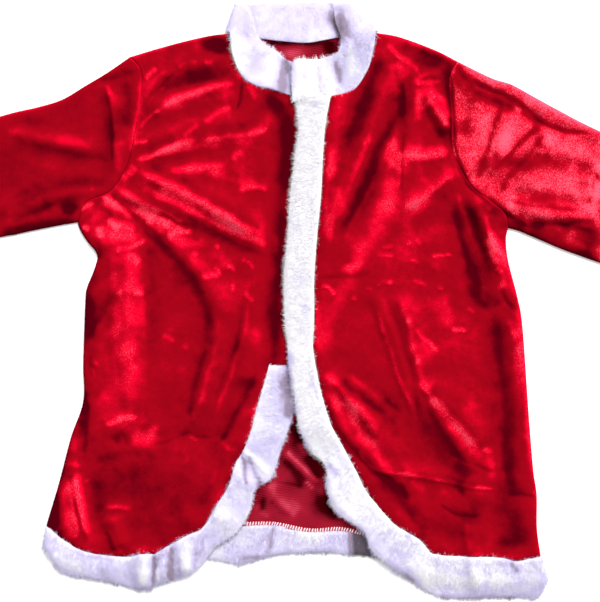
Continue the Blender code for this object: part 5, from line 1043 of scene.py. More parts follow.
plush = {
    "white": (0.81, 0.795, 0.835, 1),
    "shaded": [  # the span of shades in which each colour comes, over lavender and grey to dark
        ((0.0, 0.6), (0.60, 0.55, 0.79, 1)), ((0.55, 1.2), (0.30, 0.235, 0.335, 1)),
        ((1.25, 2.1), (0.09, 0.07, 0.095, 1)),
    ],
    "clump": 120.0, "hair": 1500.0, "tint": 26.0, "byClump": 0.4, "byTint": 0.8,
    "root": 0.62,  # share of a band's thickness under its pile
    "hairLength": (2.6, 4.6), "hairWidth": 0.36, "perSquareMm": 0.9, "most": 46000,
    "lean": 1.9, "curl": (8, 0.6), "tuft": (3.6, 0.9), "stray": (0.22, 1.5),  # these turn a hair
    "atEdge": 3.2, "atSeam": 2.6,  # how far in the free edge and the seam are felt
    "overSeam": 1.35,  # share of the lean that is turned back at the seam
    "leastUp": 0.12, "rooted": 0.3,  # how far down a hair may lie, and how deep it starts
    "uneven": ((0.4, -0.2), ((3.2, 3, 0.5), (8, 6, 0.6))),  # how much longer the free edge's hairs are
    "flatten": 0.35,  # share of the ground's slope that the hairs are lit by,
    "litByHair": 0.14,  # and the hair's own direction
    "bump": (0.6, 0.0012),
    "shader": {"Roughness": 0.85, "Sheen Weight": 0.25, "Sheen Roughness": 0.6, "Specular IOR Level": 0.1},
}


def makePlushGroup():
    # the shade with tint and clumps takes the colour from white to the others
    group, given, result = nodeGroup(
        "plushPile",
        [("Shade", "NodeSocketFloat", 0.0)],
        [("Color", "NodeSocketColor"), ("Height", "NodeSocketFloat")],
    )
    clumps = noiseNode(group, plush["clump"], 4.0, 0.6)
    hair = noiseNode(group, plush["hair"], 2.0)
    tint = mathNode(group, "SUBTRACT", noiseNode(group, plush["tint"], 3.0, 0.6), 0.5)
    clumpy = mathNode(group, "SUBTRACT", clumps, 0.5)
    shade = summed(group, given.outputs["Shade"], (tint, plush["byTint"]), (clumpy, plush["byClump"]))
    colour = coloured(group, shade, plush["white"], *plush["shaded"])
    group.links.new(colour, result.inputs["Color"])
    group.links.new(mathNode(group, "MULTIPLY_ADD", hair, 0.5, clumps), result.inputs["Height"])
    return group


def makePlush(name, group, bump):
    material, tree, shader = newMaterial(name)
    pile = placed(tree, group, ["Shade"], {})
    tree.links.new(pile["Color"], shader.inputs["Base Color"])
    if bump:
        bumped(tree, shader, pile["Height"], *plush["bump"])
    setInputs(shader, plush["shader"])
    return material


velvetGroup = makeVelvetGroup()
plushGroup = makePlushGroup()
velvetBody = makeVelvet("velvetBody", velvetGroup)
# painted light: a darker copy in painted shade for the right sleeve, and a lighter copy with a painted pink
# sheen for the left
velvetShaded = makeVelvet("velvetShaded", velvetGroup, tone=-0.17, shine=-0.25)
velvetSheened = makeVelvet("velvetSheened", velvetGroup, tone=0.56, shine=0.8, sheen=(0.68, 0.085, 0.14, 1))
knitInside = makeKnit()
plushGround = makePlush("plushGround", plushGroup, True)
plushHair = makePlush("plushHair", plushGroup, False)
whiteThread = makePlain("whiteThread", (0.82, 0.76, 0.80, 1), 0.6)
seamCloth = makePlain("seamCloth", (0.27, 0.004, 0.022, 1), 0.6)
print("materials are made")

fineness = {"front": 8, "sleeve": 6, "back": 5, "band": 5}
steps = {
    "side": 22, "armhole": 12, "shoulder": 14, "shoulderBack": 2, "hem": 14, "bandRightFront": 13,
    "bandLeftFront": 28, "underlap": 15, "underlapEnd": 3, "neck": 6, "neckBack": 8, "back": 12,
    "sleeve": 22, "collarOnBand": 4,
}

panelEdge = {
    "seam": (0.35, 3.2), "outline": (0.12, 4.5),  # share of the thickness that is left, and width
    "sleeveRoll": 5.0, "sleeveMiddle": 1.95,  # width of a sleeve's rounded edge, and the height it ends at
    "lining": 0.9,  # share of the thickness that its lining lies in from its face
}


def dipped(xy, line, dip):  # a quarter circle in from a line, which starts at the share that is left
    left, width = dip
    return left + (1 - left) * rounded(distanceTo(xy, line), width)


def turnedDown(xy, top, under, seamLines, edgeLines):
    # the face dips at its seams and rolls down round the outline, and never crosses its underside
    dip = np.min([dipped(xy, line, panelEdge["seam"]) for line in seamLines], axis=0)
    roll = np.min([dipped(xy, line, panelEdge["outline"]) for line in edgeLines], axis=0)
    return under + (top - under) * dip * roll


def panelGrid(xy, under, seamLines, edgeLines, seed, strokes):
    top = turnedDown(xy, under + cloth["thick"], under, seamLines, edgeLines)
    facing, brushed = napAndLightOf(xy, top - support(xy), seed, strokes)  # what it lies on doesn't change its painted light
    return np.dstack([xy, top, under, facing, brushed])


def sideAndArmhole(side, k):
    return joined(seam("side" + side, steps["side"] * k), seam("armhole" + side, steps["armhole"] * k))


def frontPanelRight():
    # Coons patches for the body and the underlap, which stand on the back and go down where the left
    # front's band presses
    k = fineness["front"]
    hem = bandEdges("rightHem", steps["hem"] * k)[0]
    edge = bandEdges("rightFront", steps["bandRightFront"] * k)[0]
    line = seam("underlapLine", steps["underlap"] * k)
    body = patch(
        bottom=hem[::-1], top=seam("shoulderRight", steps["shoulder"] * k)[::-1],
        left=sideAndArmhole("Right", k), right=joined(edge[::-1], line, seam("neckRight", steps["neck"] * k)),
    )
    strip = patch(
        bottom=seam("underlapEnd", steps["underlapEnd"] * k),
        top=seam("neckRightUnderlap", steps["underlapEnd"] * k)[::-1],
        left=line, right=seam("underlapEdge", steps["underlap"] * k),
    )
    seamLines = [smoothed(hem[::6], 1), smoothed(edge[::6], 1), smoothed(seams["neckRight"])]
    grids = []
    for xy in (body, strip):
        free = support(xy) + standing(xy, "Right", seamLines)
        under = free + (onBack - free) * pressed(xy, "panelPressed")
        dips = seamLines + [smoothed(seams["armholeRight"])]
        rolls = [smoothed(seams[s]) for s in ("sideRight", "shoulderRight")]
        grids.append(panelGrid(xy, under, dips, rolls, 11, strokesRight))
    return shell("frontPanelRight", grids, [velvetBody, knitInside])


def frontPanelLeft():  # a Coons patch that stands on the back, and on the right front at its edge
    k = fineness["front"]
    hem = bandEdges("leftHem", steps["hem"] * k)[0]
    edge = bandEdges("leftFront", steps["bandLeftFront"] * k)[0]
    xy = patch(
        bottom=hem, top=seam("shoulderLeft", steps["shoulder"] * k),
        left=joined(edge[::-1], seam("neckLeft", steps["neck"] * k)), right=sideAndArmhole("Left", k),
    )
    xy = withRims(xy)
    seamLines = [smoothed(hem[::6], 1), smoothed(edge[::6], 1), smoothed(seams["neckLeft"])]
    under = support(xy) + leftLift(xy) + standing(xy, "Left", seamLines)
    dips = seamLines + [smoothed(seams["armholeLeft"])]
    rolls = [smoothed(seams[s]) for s in ("sideLeft", "shoulderLeft")]
    grid = panelGrid(xy, under, dips, rolls, 21, strokesLeft)
    return shell("frontPanelLeft", [grid], [velvetBody, knitInside])


def backPanel():  # a flat Coons patch, with its wrong side up
    k = fineness["back"]
    shoulders = [seam("shoulder" + side, steps["shoulderBack"] * k) for side in ("Right", "Left")]
    hem = smoothed(np.array(bands["back"], float)[:, :2])
    s = np.linspace(0, 1, steps["back"] * k + 1)
    s = lengths(hem)[-1] * (s + 0.8 * np.sin(2 * np.pi * s) / (2 * np.pi))  # closer where it shows
    sides = [
        joined(seam("side" + side, steps["side"] * k, 0.5), seam("armhole" + side, steps["armhole"] * k))
        for side in ("Right", "Left")
    ]
    xy = patch(
        bottom=atMarks(hem, lengths(hem), s),
        top=joined(shoulders[0][::-1], seam("neckBack", steps["neckBack"] * k), shoulders[1]),
        left=sides[0], right=sides[1],
    )
    xy = withRims(xy)
    outline = [smoothed(seams[name]) for name in ("sideRight", "sideLeft", "shoulderRight", "shoulderLeft")]
    raised = 1.4  # the underside turns up at the outline
    under = raised * (1 - rounded(nearestTo(xy, outline), panelEdge["outline"][1]))
    top = np.full(under.shape, cloth["thick"])
    facing, brushed = napAndLightOf(xy, under, 31, strokesInside)
    grid = np.dstack([xy, top, under, facing, brushed])
    return shell("backPanel", [grid], [knitInside, velvetBody])


def sleeve(side, finish):
    # a flattened tube: its face stands on the underside, and both meet at the middle height in a
    # quarter circle at the top edge and the under edge. The lining follows inside it.
    k = fineness["sleeve"]
    armhole, cuff = (seam(part + side, steps["armhole"] * k) for part in ("armhole", "cuff"))
    underEdge, topEdge = (
        seam(part + side, steps["sleeve"] * k, 0.45) for part in ("sleeveUnder", "sleeveTop")
    )
    if side == "Right":
        xy = patch(bottom=underEdge[::-1], top=topEdge[::-1], left=cuff, right=armhole)
    else:
        xy = patch(bottom=underEdge, top=topEdge, left=armhole, right=cuff)
    xy = withRims(xy)
    under = onBack + standing(xy, side)
    edges = [smoothed(seams[name + side]) for name in ("sleeveTop", "sleeveUnder")]
    roll = rounded(nearestTo(xy, edges), panelEdge["sleeveRoll"])
    dip = dipped(xy, smoothed(seams["armhole" + side]), panelEdge["seam"])
    middle = panelEdge["sleeveMiddle"]
    outerHigh = middle + roll * (under + cloth["thick"] * dip - middle)
    outerLow = middle * (1 - roll)
    inset = panelEdge["lining"] * cloth["thick"]
    inner = xy.copy()
    inner[0] += inset * (xy[3] - xy[0]) / np.linalg.norm(xy[3] - xy[0], axis=1)[:, None]
    inner[-1] += inset * (xy[-4] - xy[-1]) / np.linalg.norm(xy[-4] - xy[-1], axis=1)[:, None]
    for row, share in ((1, 0.35), (2, 0.7)):
        inner[row] = inner[0] + share * (xy[3] - inner[0])
        inner[-1 - row] = inner[-1] + share * (xy[-4] - inner[-1])
    innerHigh = middle + roll * (under - middle)
    innerLow = middle + roll * (cloth["thick"] - middle)
    innerHigh[[0, -1]] = innerLow[[0, -1]] = middle
    seed, strokes = (41, strokesSleeveRight) if side == "Right" else (51, strokesSleeveLeft)
    facing, brushed = napAndLightOf(xy, outerHigh, seed, strokes)

    def rings(plan, low, high):  # round the sleeve: along its underside and back over its face
        lower = np.dstack([inMetres(plan, low), facing * 0, brushed])
        upper = np.dstack([inMetres(plan, high), facing, brushed])
        return np.concatenate([lower, upper[-2:0:-1]]).transpose(1, 0, 2)

    outer, lining = rings(xy, outerLow, outerHigh), rings(inner, innerLow, innerHigh)
    return tube("sleeve" + side, outer, lining, [finish, knitInside])


def tube(name, outer, inner, materials):
    # the wall between outer and inner rings, whose columns are x, y, z and the attributes' values
    count, around = outer.shape[:2]
    i = np.arange(count * around).reshape(count, around)
    j = i + i.size

    def between(a, b):
        return np.stack([a, np.roll(a, -1, 1), np.roll(b, -1, 1), b], -1).reshape(-1, 4)

    walls = [between(i[:-1], i[1:]), between(j[:-1], j[1:])[:, ::-1]]
    faces = walls + [between(j[:1], i[:1]), between(i[-1:], j[-1:])]
    kinds = np.concatenate([np.full(len(f), k) for f, k in zip(faces, (0, 1, 0, 0))])
    points = np.vstack([outer.reshape(-1, outer.shape[2]), inner.reshape(-1, outer.shape[2])])
    quads = turnedOut(points[:, :3], np.vstack(faces))
    values = {"slope": points[:, 3], "brushed": points[:, 4]}
    return makeMesh(name, points[:, :3], quads, materials, kinds, values)


panels = {
    "frontPanelRight": frontPanelRight(),
    "frontPanelLeft": frontPanelLeft(),
    "backPanel": backPanel(),
    # the right sleeve in painted shade, the left with a painted pink sheen
    "sleeveRight": sleeve("Right", velvetShaded),
    "sleeveLeft": sleeve("Left", velvetSheened),
}
print("velvet panels are made")

pad = {
    "round": (0.25, 9.0),  # share of the thickness that is left at the border, and width of the rounding
    "roomAtEdge": 1.6,  # the ground stops short of the free edge by this, which leaves room for the pile
    "bumps": (9, 61, 0.35), "shadeBumps": (24, 63, 0.12),  # size, seed and share
    "backAllowance": 5.2,  # the back band's seam allowance, which has no pile
    "backShows": (-165, 130),  # the fronts lie on the rest of it
    "shaded": (66, 14, 1.45),  # and it lies in the shade of the left front's band from here on
}


def padGrid(sewn, free, under, thickness, shades, openStart=False):
    # the ground of a band under its pile: a quarter circle in from its border, then thick. Its shade
    # is given at heights along y, and a start that another piece covers stays thick.
    shares = np.concatenate([[0, 0.02, 0.05], np.linspace(0.1, 0.9, 17), [0.95, 0.98, 1]])[:, None]
    start, end = sewn[0] + shares * (free[0] - sewn[0]), sewn[-1] + shares * (free[-1] - sewn[-1])
    xy = patch(bottom=free, top=sewn, left=start[::-1], right=end[::-1])
    outline = np.vstack([sewn[::3], end, free[::-3]] + ([] if openStart else [start[::-1]]))
    inner = xy.copy()
    toward = (sewn - free) / np.linalg.norm(sewn - free, axis=1)[:, None]
    inner += toward[None] * pad["roomAtEdge"] * (1 - np.linspace(0, 1, len(shares)))[:, None, None]
    full = dipped(xy, outline, pad["round"])
    low = under(xy)
    relief, shade = strokesOver(xy, shadePlush, wander=2.2, skirt=3)
    noises = (pad["bumps"], pad["shadeBumps"])
    bumps, uneven = (share * softNoise(xy, size, seed) for size, seed, share in noises)
    shade = shade + np.interp(xy[..., 1], *np.array(shades).T) + uneven
    top = low + (thickness(xy) * plush["root"] + relief + bumps) * full
    return np.dstack([inner, top, low, shade])


def bandShell(name, grid, bare):  # the closed ground of a band, plain near the bare lines
    vertices, faces, _, (shade,) = closed([grid])
    kinds = np.zeros(len(faces))
    for line, width in bare:
        kinds[distanceTo((vertices[faces].mean(1) / mm)[:, :2] + patternMiddle, line) < width] = 1
    piece = makeMesh(name, vertices, faces, [plushGround, seamCloth], kinds, {"shade": shade})
    return piece, vertices, faces, shade


def pointNormals(vertices, faces):  # the sum of the faces' cross products at each point, made 1 long
    a, b, c = (vertices[faces[:, k]] for k in (0, 1, 2))
    flat = np.cross(b - a, c - a)
    normals = np.zeros_like(vertices)
    for k in range(faces.shape[1]):
        np.add.at(normals, faces[:, k], flat)
    return normals / np.maximum(np.linalg.norm(normals, axis=1), 1e-12)[:, None]


def pile(name, vertices, faces, shade, leanOf, edge, sewn, seed, span=(-1000, 1000), bare=()):
    # hairs as thin closed spikes, with three points at the root and one at the tip, on the upper
    # faces between two places along x. Near the edge lines they are looser and stand in tufts of
    # uneven length, and near the sewn lines they lean back over the seam.
    rng = np.random.default_rng(seed)
    normals = pointNormals(vertices, faces)
    triangles = np.vstack([faces[:, [0, 1, 2]], faces[:, [0, 2, 3]]])
    a, b, c = (vertices[triangles[:, k]] for k in range(3))
    flat = np.cross(b - a, c - a) / 2
    area = np.linalg.norm(flat, axis=1)
    area[flat[:, 2] < -0.15 * area] = 0  # nothing under the band
    middle = (a[:, 0] + b[:, 0] + c[:, 0]) / 3 / mm + patternMiddle[0]
    area[(middle < span[0]) | (middle > span[1])] = 0
    for line, width in bare:  # seam allowances without pile
        centre = (a + b + c)[:, :2] / 3 / mm + patternMiddle
        area[distanceTo(centre, line) < width] = 0
    count = int(area.sum() / mm**2 * plush["perSquareMm"])
    count = min(count, plush["most"])
    pick = rng.choice(len(area), count, p=area / area.sum())
    u, v = rng.random((2, count, 1))
    u, v = np.where(u + v > 1, 1 - u, u), np.where(u + v > 1, 1 - v, v)
    root = a[pick] + u * (b[pick] - a[pick]) + v * (c[pick] - a[pick])
    shares = (1 - u - v, u, v)
    normal = sum(normals[triangles[pick, k]] * w for k, w in enumerate(shares))
    shade = sum(shade[triangles[pick, k]] * w[:, 0] for k, w in enumerate(shares))
    xy = root[:, :2] / mm + patternMiddle
    lean = leanOf(xy)
    (curlSize, curled), (tuftSize, tufted), (strayed, more) = plush["curl"], plush["tuft"], plush["stray"]
    curl = np.stack([softNoise(xy, curlSize, seed + k) for k in (1, 2)], 1)
    atEdge = np.exp(-((nearestTo(xy, edge) / plush["atEdge"]) ** 2))[:, None]
    atSeam = np.exp(-((nearestTo(xy, sewn) / plush["atSeam"]) ** 2))[:, None]
    tuft = np.stack([softNoise(xy, tuftSize, seed + k) for k in (4, 5)], 1)
    stray = rng.normal(0, strayed, (count, 2)) * (1 + more * atEdge)
    aim = normal.copy()
    aim[:, :2] += plush["lean"] * lean * (1 - plush["overSeam"] * atSeam)
    aim[:, :2] += curled * curl + tufted * atEdge * tuft + stray
    aim[:, 2] = np.maximum(aim[:, 2], plush["leastUp"])
    aim /= np.linalg.norm(aim, axis=1)[:, None]
    low, high = plush["hairLength"]
    size = (low + (high - low) * rng.random(count) ** 1.5)[:, None] * mm
    (longer, least), patches = plush["uneven"]
    uneven = longer + sum(share * softNoise(xy, wide, seed + k) for wide, k, share in patches)
    size = size * (1 + atEdge * np.maximum(uneven, least)[:, None])
    across = np.cross(aim, [0.31, 0.52, 0.8])
    across /= np.linalg.norm(across, axis=1)[:, None]
    other = np.cross(aim, across)
    turn = rng.uniform(0, 2 * np.pi, count)
    width = plush["hairWidth"] * mm * rng.uniform(0.7, 1.3, (count, 1)) * (1 - 0.4 * atEdge)
    foot, spots = root - aim * plush["rooted"] * mm, []
    for k in range(3):
        angle = (turn + k * 2 * np.pi / 3)[:, None]
        spots.append(foot + width * (np.cos(angle) * across + np.sin(angle) * other))
    tip = root + aim * size
    tip[:, 2] = np.maximum(tip[:, 2], 0.0003)
    points = np.stack(spots + [tip], 1).reshape(-1, 3)
    points[:, 2] = np.maximum(points[:, 2], 0.0)
    first = np.arange(count)[:, None] * 4
    sides = np.array([[0, 1, 3], [1, 2, 3], [2, 0, 3], [2, 1, 0]])
    values = {"shade": np.repeat(shade, 4)}
    piece = makeMesh(name, points, (first[:, None] + sides[None]).reshape(-1, 3), [plushHair], None, values)
    lit = normal / np.linalg.norm(normal, axis=1)[:, None] * (plush["flatten"], plush["flatten"], 1)
    lit = lit + plush["litByHair"] * aim
    lit = np.repeat(lit / np.linalg.norm(lit, axis=1)[:, None], 4, axis=0)
    piece.data.normals_split_custom_set_from_vertices(lit)  # a hair is lit like the ground that it stands on
    return piece


def leanAway(line):  # directions 1 long from the nearest place on a line outwards
    def lean(xy):
        best = np.full(len(xy), 1e9)
        away = np.zeros_like(xy)
        for a, b in zip(line[:-1], line[1:]):
            run = b - a
            share = np.clip(((xy - a) @ run) / max(run @ run, 1e-9), 0, 1)
            offset = xy - a - share[:, None] * run
            near = (offset**2).sum(1)
            closer = near < best
            best[closer] = near[closer]
            away[closer] = offset[closer]
        return away / np.maximum(np.linalg.norm(away, axis=1), 1e-6)[:, None]
    return lean


def frontTrimRight():
    k = fineness["band"]
    front, hem = bandEdges("rightFront", steps["bandRightFront"] * k), bandEdges("rightHem", steps["hem"] * k)
    sewn, free = joined(front[0], hem[0])[::-1], joined(front[1], hem[1])[::-1]

    def under(xy):
        loose = support(xy) + foldHeight(xy, foldsRight)
        return loose + (onBack - loose) * pressed(xy, "bandPressed")

    def thickness(xy):
        return cloth["plush"] * (1 - (1 - cloth["pressedShare"]) * pressed(xy, "bandPressed"))

    shades = [(-380, 0.47), (-335, 0.44), (-290, 0.34), (-90, 0.34)]
    return padGrid(sewn, free, under, thickness, shades), sewn


def frontTrimLeft():
    k = fineness["band"]
    front, hem = bandEdges("leftFront", steps["bandLeftFront"] * k), bandEdges("leftHem", steps["hem"] * k)
    sewn, free = joined(front[0], hem[0]), joined(front[1], hem[1])

    def under(xy):
        return support(xy) + leftLift(xy) + np.maximum(foldHeight(xy, foldsLeft), 0)

    def thickness(xy):
        return np.full(xy.shape[:-1], cloth["plush"])

    shades = [(-400, 0.40), (-350, 0.34), (-270, 0.20), (-150, 0.06), (-60, 0.0)]
    return padGrid(sewn, free, under, thickness, shades, openStart=True), sewn


def backTrim():
    sewn, free = bandEdges("back", steps["back"] * fineness["band"] * 2)

    def under(xy):
        return np.zeros(xy.shape[:-1])

    grid = padGrid(sewn, free, under, backBandThickness, [(-360, 0.40), (-310, 0.36)])
    start, width, shade = pad["shaded"]
    grid[..., 4] += shade * np.clip((grid[..., 0] - start) / width, 0, 1)
    return grid, sewn


trims = {}
for name, make, seed in (
    ("frontTrimRight", frontTrimRight, 71), ("frontTrimLeft", frontTrimLeft, 75), ("backTrim", backTrim, 79),
):
    grid, sewn = make()
    free, inward = grid[0, :, :2], sewn - grid[0, :, :2]
    bare, span, pileStart = [], (-1000, 1000), sewn[::4]
    if name == "backTrim":
        bare, span = [(sewn[::4], pad["backAllowance"])], pad["backShows"]
        pileStart = sewn[::4] - (0, pad["backAllowance"])
    ground, vertices, faces, shade = bandShell(name, grid, bare)
    edge = [pileStart, free[::-4], np.array([sewn[0], free[0]])]
    lean = leanAway((sewn + 0.2 * inward)[::4])
    hair = pile(name + "Pile", vertices, faces, shade, lean, edge, [pileStart], seed, span, bare)
    trims[name] = (ground, hair)
print("plush bands are made")

collarSize = {
    "fineness": 5, "around": 32, "root": 0.66,
    "square": (0.45, 0.7),  # powers of the cosine and the sine: the lower, the squarer the section
    "overBand": 3.5,  # how far the left end comes down over the top of the band
    "bumps": (14, 83, 0.4), "shadeBumps": (24, 84, 0.1),  # size, seed and share
    "shade": 0.32, "white": (14, 24, -0.24), "upperShade": (352, 16, 0.14),  # place, width and share
}


def collarBand():
    # a section carried along the neck seam: share of the way from the seam to the rim and share of
    # the thickness are powers of cosine and sine. At both ends of the back it turns over in an arc.
    k = collarSize["fineness"]
    turn = np.linspace(0, 2 * np.pi, collarSize["around"] + 1)[:-1]
    wide, tall = collarSize["square"]
    share = (0.5 - 0.5 * np.sign(np.cos(turn)) * np.abs(np.cos(turn)) ** wide)[None, :, None]
    across = (0.5 * np.sign(np.sin(turn)) * np.abs(np.sin(turn)) ** tall)[None, :]
    root = collarSize["root"]

    def flat(sewn, rim, under, thickness, facing):
        xy = sewn[:, None] * (1 - share) + rim[:, None] * share
        thick = thickness(xy)
        creases = strokesOver(xy, shadeCollar, wander=1.5, skirt=3)[0]
        height = under(xy) + thick / 2 + facing * across * thick * root
        return inMetres(xy, height + creases * np.clip(2 * facing * across, 0, 1))

    def wrap(sewn, rim, outward, angles):
        axis = sewn * (1 - share) + rim * share
        middle = (onBackCollar + cloth["collarPlush"]) / 2
        radius = onBackCollar / 2 + across * cloth["collarPlush"] * root
        sideways = radius * np.cos(angles)[:, None]
        return inMetres(axis + sideways[..., None] * outward, middle + radius * np.sin(angles)[:, None])

    def underFront(xy):
        x, y = xy[..., 0], xy[..., 1]
        neckX, neckY = np.array(seams["neckBack"], float).T
        belowNeck = below("ontoBackCollar", y - np.interp(x, neckX, neckY))
        rest = onBackCollar + (onBack - onBackCollar) * belowNeck
        size, seed, bump = collarSize["bumps"]
        return rest + bump * softNoise(xy, size, seed)

    def underLeftEnd(xy):
        onRightEnd = cloth["collarPlush"] * cloth["pressedShare"] + cloth["layerGap"]
        return underFront(xy) + onRightEnd * below("collarLeftEnd", xy[..., 0])

    def thick(xy):
        return np.full(xy.shape[:-1], cloth["collarPlush"])

    def thickRightEnd(xy):
        pressedPart = 1 - below("collarRightEnd", xy[..., 0])
        return cloth["collarPlush"] * (1 - (1 - cloth["pressedShare"]) * pressedPart)

    def outward(sewn, rim, sign):
        run = (rim - sewn) / np.linalg.norm(rim - sewn)
        return sign * np.array([-run[1], run[0]])

    right = joined(seam("neckRightUnderlap", steps["underlapEnd"] * k), seam("neckRight", steps["neck"] * k))
    onBand = steps["collarOnBand"] * k
    left = joined(seam("neckLeft", steps["neck"] * k)[::-1], seam("collarOnBand", onBand))
    left[-onBand:, 1] -= collarSize["overBand"] * eased(np.linspace(0, 3, onBand))
    back = seam("neckBack", steps["neckBack"] * k)
    rimRight, rimLeft = seam("rimRight", len(right) - 1), seam("rimLeft", len(left) - 1)
    rimBack = seam("rimBack", steps["neckBack"] * k)
    bend = np.linspace(np.pi / 2, -np.pi / 2, 13)[1:-1]
    rings = np.vstack([
        flat(right, rimRight, underFront, thickRightEnd, 1),
        wrap(right[-1], rimRight[-1], outward(right[-1], rimRight[-1], 1), bend),
        flat(back, rimBack, lambda xy: np.zeros(xy.shape[:-1]), thick, -1),
        wrap(back[-1], rimBack[-1], outward(back[-1], rimBack[-1], -1), bend[::-1]),
        flat(left, rimLeft, underLeftEnd, thick, 1),
    ])
    count, around = rings.shape[:2]
    i = np.arange(count * around).reshape(count, around)
    quads = np.stack([i[:-1], np.roll(i[:-1], -1, 1), np.roll(i[1:], -1, 1), i[1:]], -1).reshape(-1, 4)
    points = rings.reshape(-1, 3)
    ends = []
    for row, way in ((0, 1), (-1, -1)):  # each end is closed with quads between its two long sides
        half = around // 2
        upper, lower = i[row, : half], i[row, ::-1][: half]
        cap = np.stack([upper[:-1], lower[:-1], lower[1:], upper[1:]], -1)
        ends.append(cap[:, ::way])
    return points, turnedOut(points, np.vstack([quads] + ends))


points, quads = collarBand()
spots = points[:, :2] / mm + patternMiddle
shade = strokesOver(spots, shadeCollar, wander=1.5, skirt=3)[1]
place, width, share = collarSize["white"]  # the left end is whiter
shade += share * np.exp(-(((spots[:, 0] - place) / width) ** 2)) * (spots[:, 1] < 350)
place, width, share = collarSize["upperShade"]
shade += collarSize["shade"] + share * eased((spots[:, 1] - place) / width)
size, seed, share = collarSize["shadeBumps"]
shade += share * softNoise(spots, size, seed)
collar = makeMesh("collarBand", points, quads, [plushGround], None, {"shade": shade})

overlock = {
    "pitch": 3.8, "reach": (0.8, 2.5), "thick": 0.62, "heights": (2.6, 4.2, 5.4),
    "offSeam": 2.4, "spans": (4, 9),  # the back band's places between which it shows
}


def stitching(name, line, size, material):
    # short bowed stitches at equal steps along a line, each a square bar through three places. The
    # reach is how far a stitch goes along the line and across it on each side of its middle.
    along, rng = lengths(line), np.random.default_rng(5)
    marks = np.arange(size["pitch"], along[-1], size["pitch"])
    middles = atMarks(line, along, marks + rng.normal(0, 0.09 * size["pitch"], len(marks)))
    run = np.gradient(middles, axis=0)
    run /= np.linalg.norm(run, axis=1)[:, None]
    square = np.stack([-run[:, 1], run[:, 0]], 1)
    half = size["reach"][0] * run * rng.uniform(0.2, 1.6, (len(run), 1)) + size["reach"][1] * square
    spots = np.stack([middles + half, middles, middles - half], 1)
    heights = np.zeros(spots.shape[:-1]) + size["heights"]
    across = np.stack([-half[:, 1], half[:, 0]], 1) / np.linalg.norm(half, axis=1)[:, None]
    corners = [(1, 0), (0, 1), (-1, 0), (0, -1)]
    rings = np.stack([
        inMetres(spots + size["thick"] * a * across[:, None], heights + size["thick"] * b) for a, b in corners
    ], 2).reshape(-1, 3)
    first = 12 * np.arange(len(middles))[:, None, None]
    sides = [[k, k + 4, (k + 1) % 4 + 4, (k + 1) % 4] for k in range(4)]
    sides += [[4 + c for c in side] for side in sides]
    faces = (first + np.array(sides + [[0, 1, 2, 3], [11, 10, 9, 8]])).reshape(-1, 4)
    return makeMesh(name, rings, faces, [material])


first, last = overlock["spans"]
backSeam = smoothed([(x, y - overlock["offSeam"]) for x, y, _, _ in bands["back"][first:last]])
overlockStitches = stitching("overlockStitches", backSeam, overlock, whiteThread)
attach(overlockStitches, "root")
print("stitches are made")

neckRight, neckLeft = joined(seam("neckRightUnderlap", 4), seam("neckRight", 12)), seam("neckLeft", 12)
fromRight, fromLeft = leanAway(neckRight), leanAway(neckLeft)

collarHair = {
    "up": (-30, 40),  # from this far below the neck line, over this height, the hairs turn up
    "out": (-11, 6, 1.8, 340), "down": (280, 5, 2.2, (-12, 42)),  # place, width, share, and where at all
}


def collarLean(xy):  # in from the front's neck, up on the back, out at the left end and down over its seam
    x, y = xy.T
    nearer = distanceTo(xy, neckRight) < distanceTo(xy, neckLeft)
    lean = np.where(nearer[:, None], fromRight(xy), fromLeft(xy))
    low, rise = collarHair["up"]
    onBackPart = eased((y - np.interp(x, *np.array(seams["neckBack"], float).T) - low) / rise)[:, None]
    lean = lean * (1 - onBackPart) + onBackPart * (0, 1)
    place, width, share, top = collarHair["out"]
    lean[:, 0] -= share * (y < top) * np.exp(-(((x - place) / width) ** 2))
    place, width, share, (first, last) = collarHair["down"]
    lean[:, 1] -= share * (first < x) * (x < last) * np.exp(-(((y - place) / width) ** 2))
    return lean


neckLines = [neckRight, neckLeft]
rims = [seam(name, 12) for name in ("rimRight", "rimBack", "rimLeft", "neckBack")]
collarPile = pile("collarBandPile", points, quads, shade, collarLean, neckLines + rims, neckLines, 87)
trims["collarBand"] = (collar, collarPile)
print("collar is made")

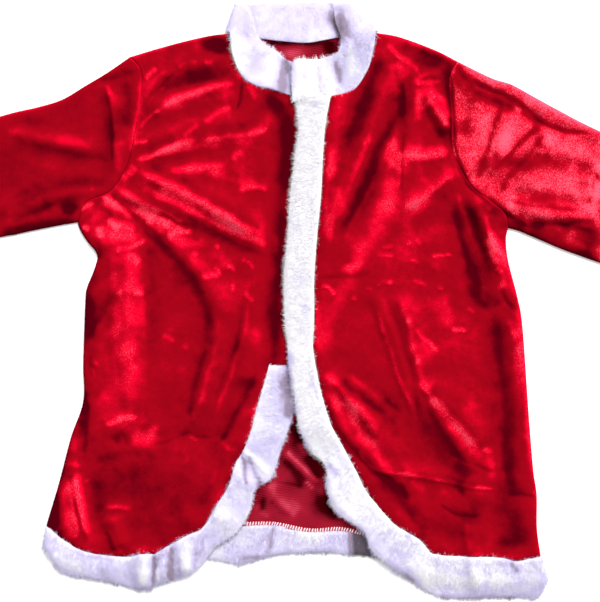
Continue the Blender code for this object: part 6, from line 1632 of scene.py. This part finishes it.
cuts = {  # node, flat width and length in metres, and the flat area of the cut
    "frontPanelRight": ("front_panel_right", 0.37, 0.74, 0.190),
    "frontPanelLeft": ("front_panel_left", 0.32, 0.74, 0.175),
    "backPanel": ("back_panel", 0.69, 0.74, 0.395),
    "sleeveRight": ("sleeve_right", 0.48, 0.62, 0.20),
    "sleeveLeft": ("sleeve_left", 0.48, 0.62, 0.205),
    "frontTrimRight": ("front_trim_right", 0.05, 0.55, 0.0235),
    "frontTrimLeft": ("front_trim_left", 0.06, 0.88, 0.041),
    "backTrim": ("back_trim", 0.06, 0.70, 0.032),
    "collarBand": ("collar_band", 0.055, 0.46, 0.0235),
}
for name, piece in panels.items():
    node, width, length, area = cuts[name]
    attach(piece, "root")
    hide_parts(node)
for name, (ground, hair) in trims.items():
    for piece in (ground, hair):
        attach(piece, "root")
    node, width, length, area = cuts[name]
    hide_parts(node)

studio = {
    "floor": (0.95, 0.95, 0.955, 1), "floorReach": 4.0, "underCloth": 0.0004,
    "world": 0.8, "cameraHeight": 1.7, "frameWidth": 0.8428,
    "sun": 5.0, "sunFrom": (0.55, 1.0, 0.95), "sunWidth": 0.6,
}
bpy.context.scene.view_settings.view_transform = "Standard"  # keeps the reds and the white as they are
paleFloor = makePlain("paleFloor", studio["floor"], 0.8)
corners = studio["floorReach"] * np.array([(-1, -1, 0), (1, -1, 0), (1, 1, 0), (-1, 1, 0)])
floor = makeMesh("floor", corners - (0, 0, studio["underCloth"]), [[0, 1, 2, 3]], [paleFloor])

world = bpy.data.worlds.new("studio")
world.use_nodes = True
setInputs(world.node_tree.nodes["Background"], {"Color": (1, 1, 1, 1), "Strength": studio["world"]})
bpy.context.scene.world = world

sun = bpy.data.lights.new("sun", "SUN")
sun.energy = studio["sun"]
sun.angle = studio["sunWidth"]
sunObject = bpy.data.objects.new("sun", sun)
sunObject.rotation_euler = Vector(studio["sunFrom"]).to_track_quat("Z", "Y").to_euler()
bpy.context.scene.collection.objects.link(sunObject)

camera = bpy.data.cameras.new("camera")
camera.sensor_fit = "VERTICAL"
camera.angle = 2 * np.arctan(studio["frameWidth"] / 2 / studio["cameraHeight"])
cameraObject = bpy.data.objects.new("camera", camera)
cameraObject.location = (-patternMiddle[0] * mm, -patternMiddle[1] * mm, studio["cameraHeight"])
bpy.context.scene.collection.objects.link(cameraObject)
bpy.context.scene.camera = cameraObject
print("studio is set")
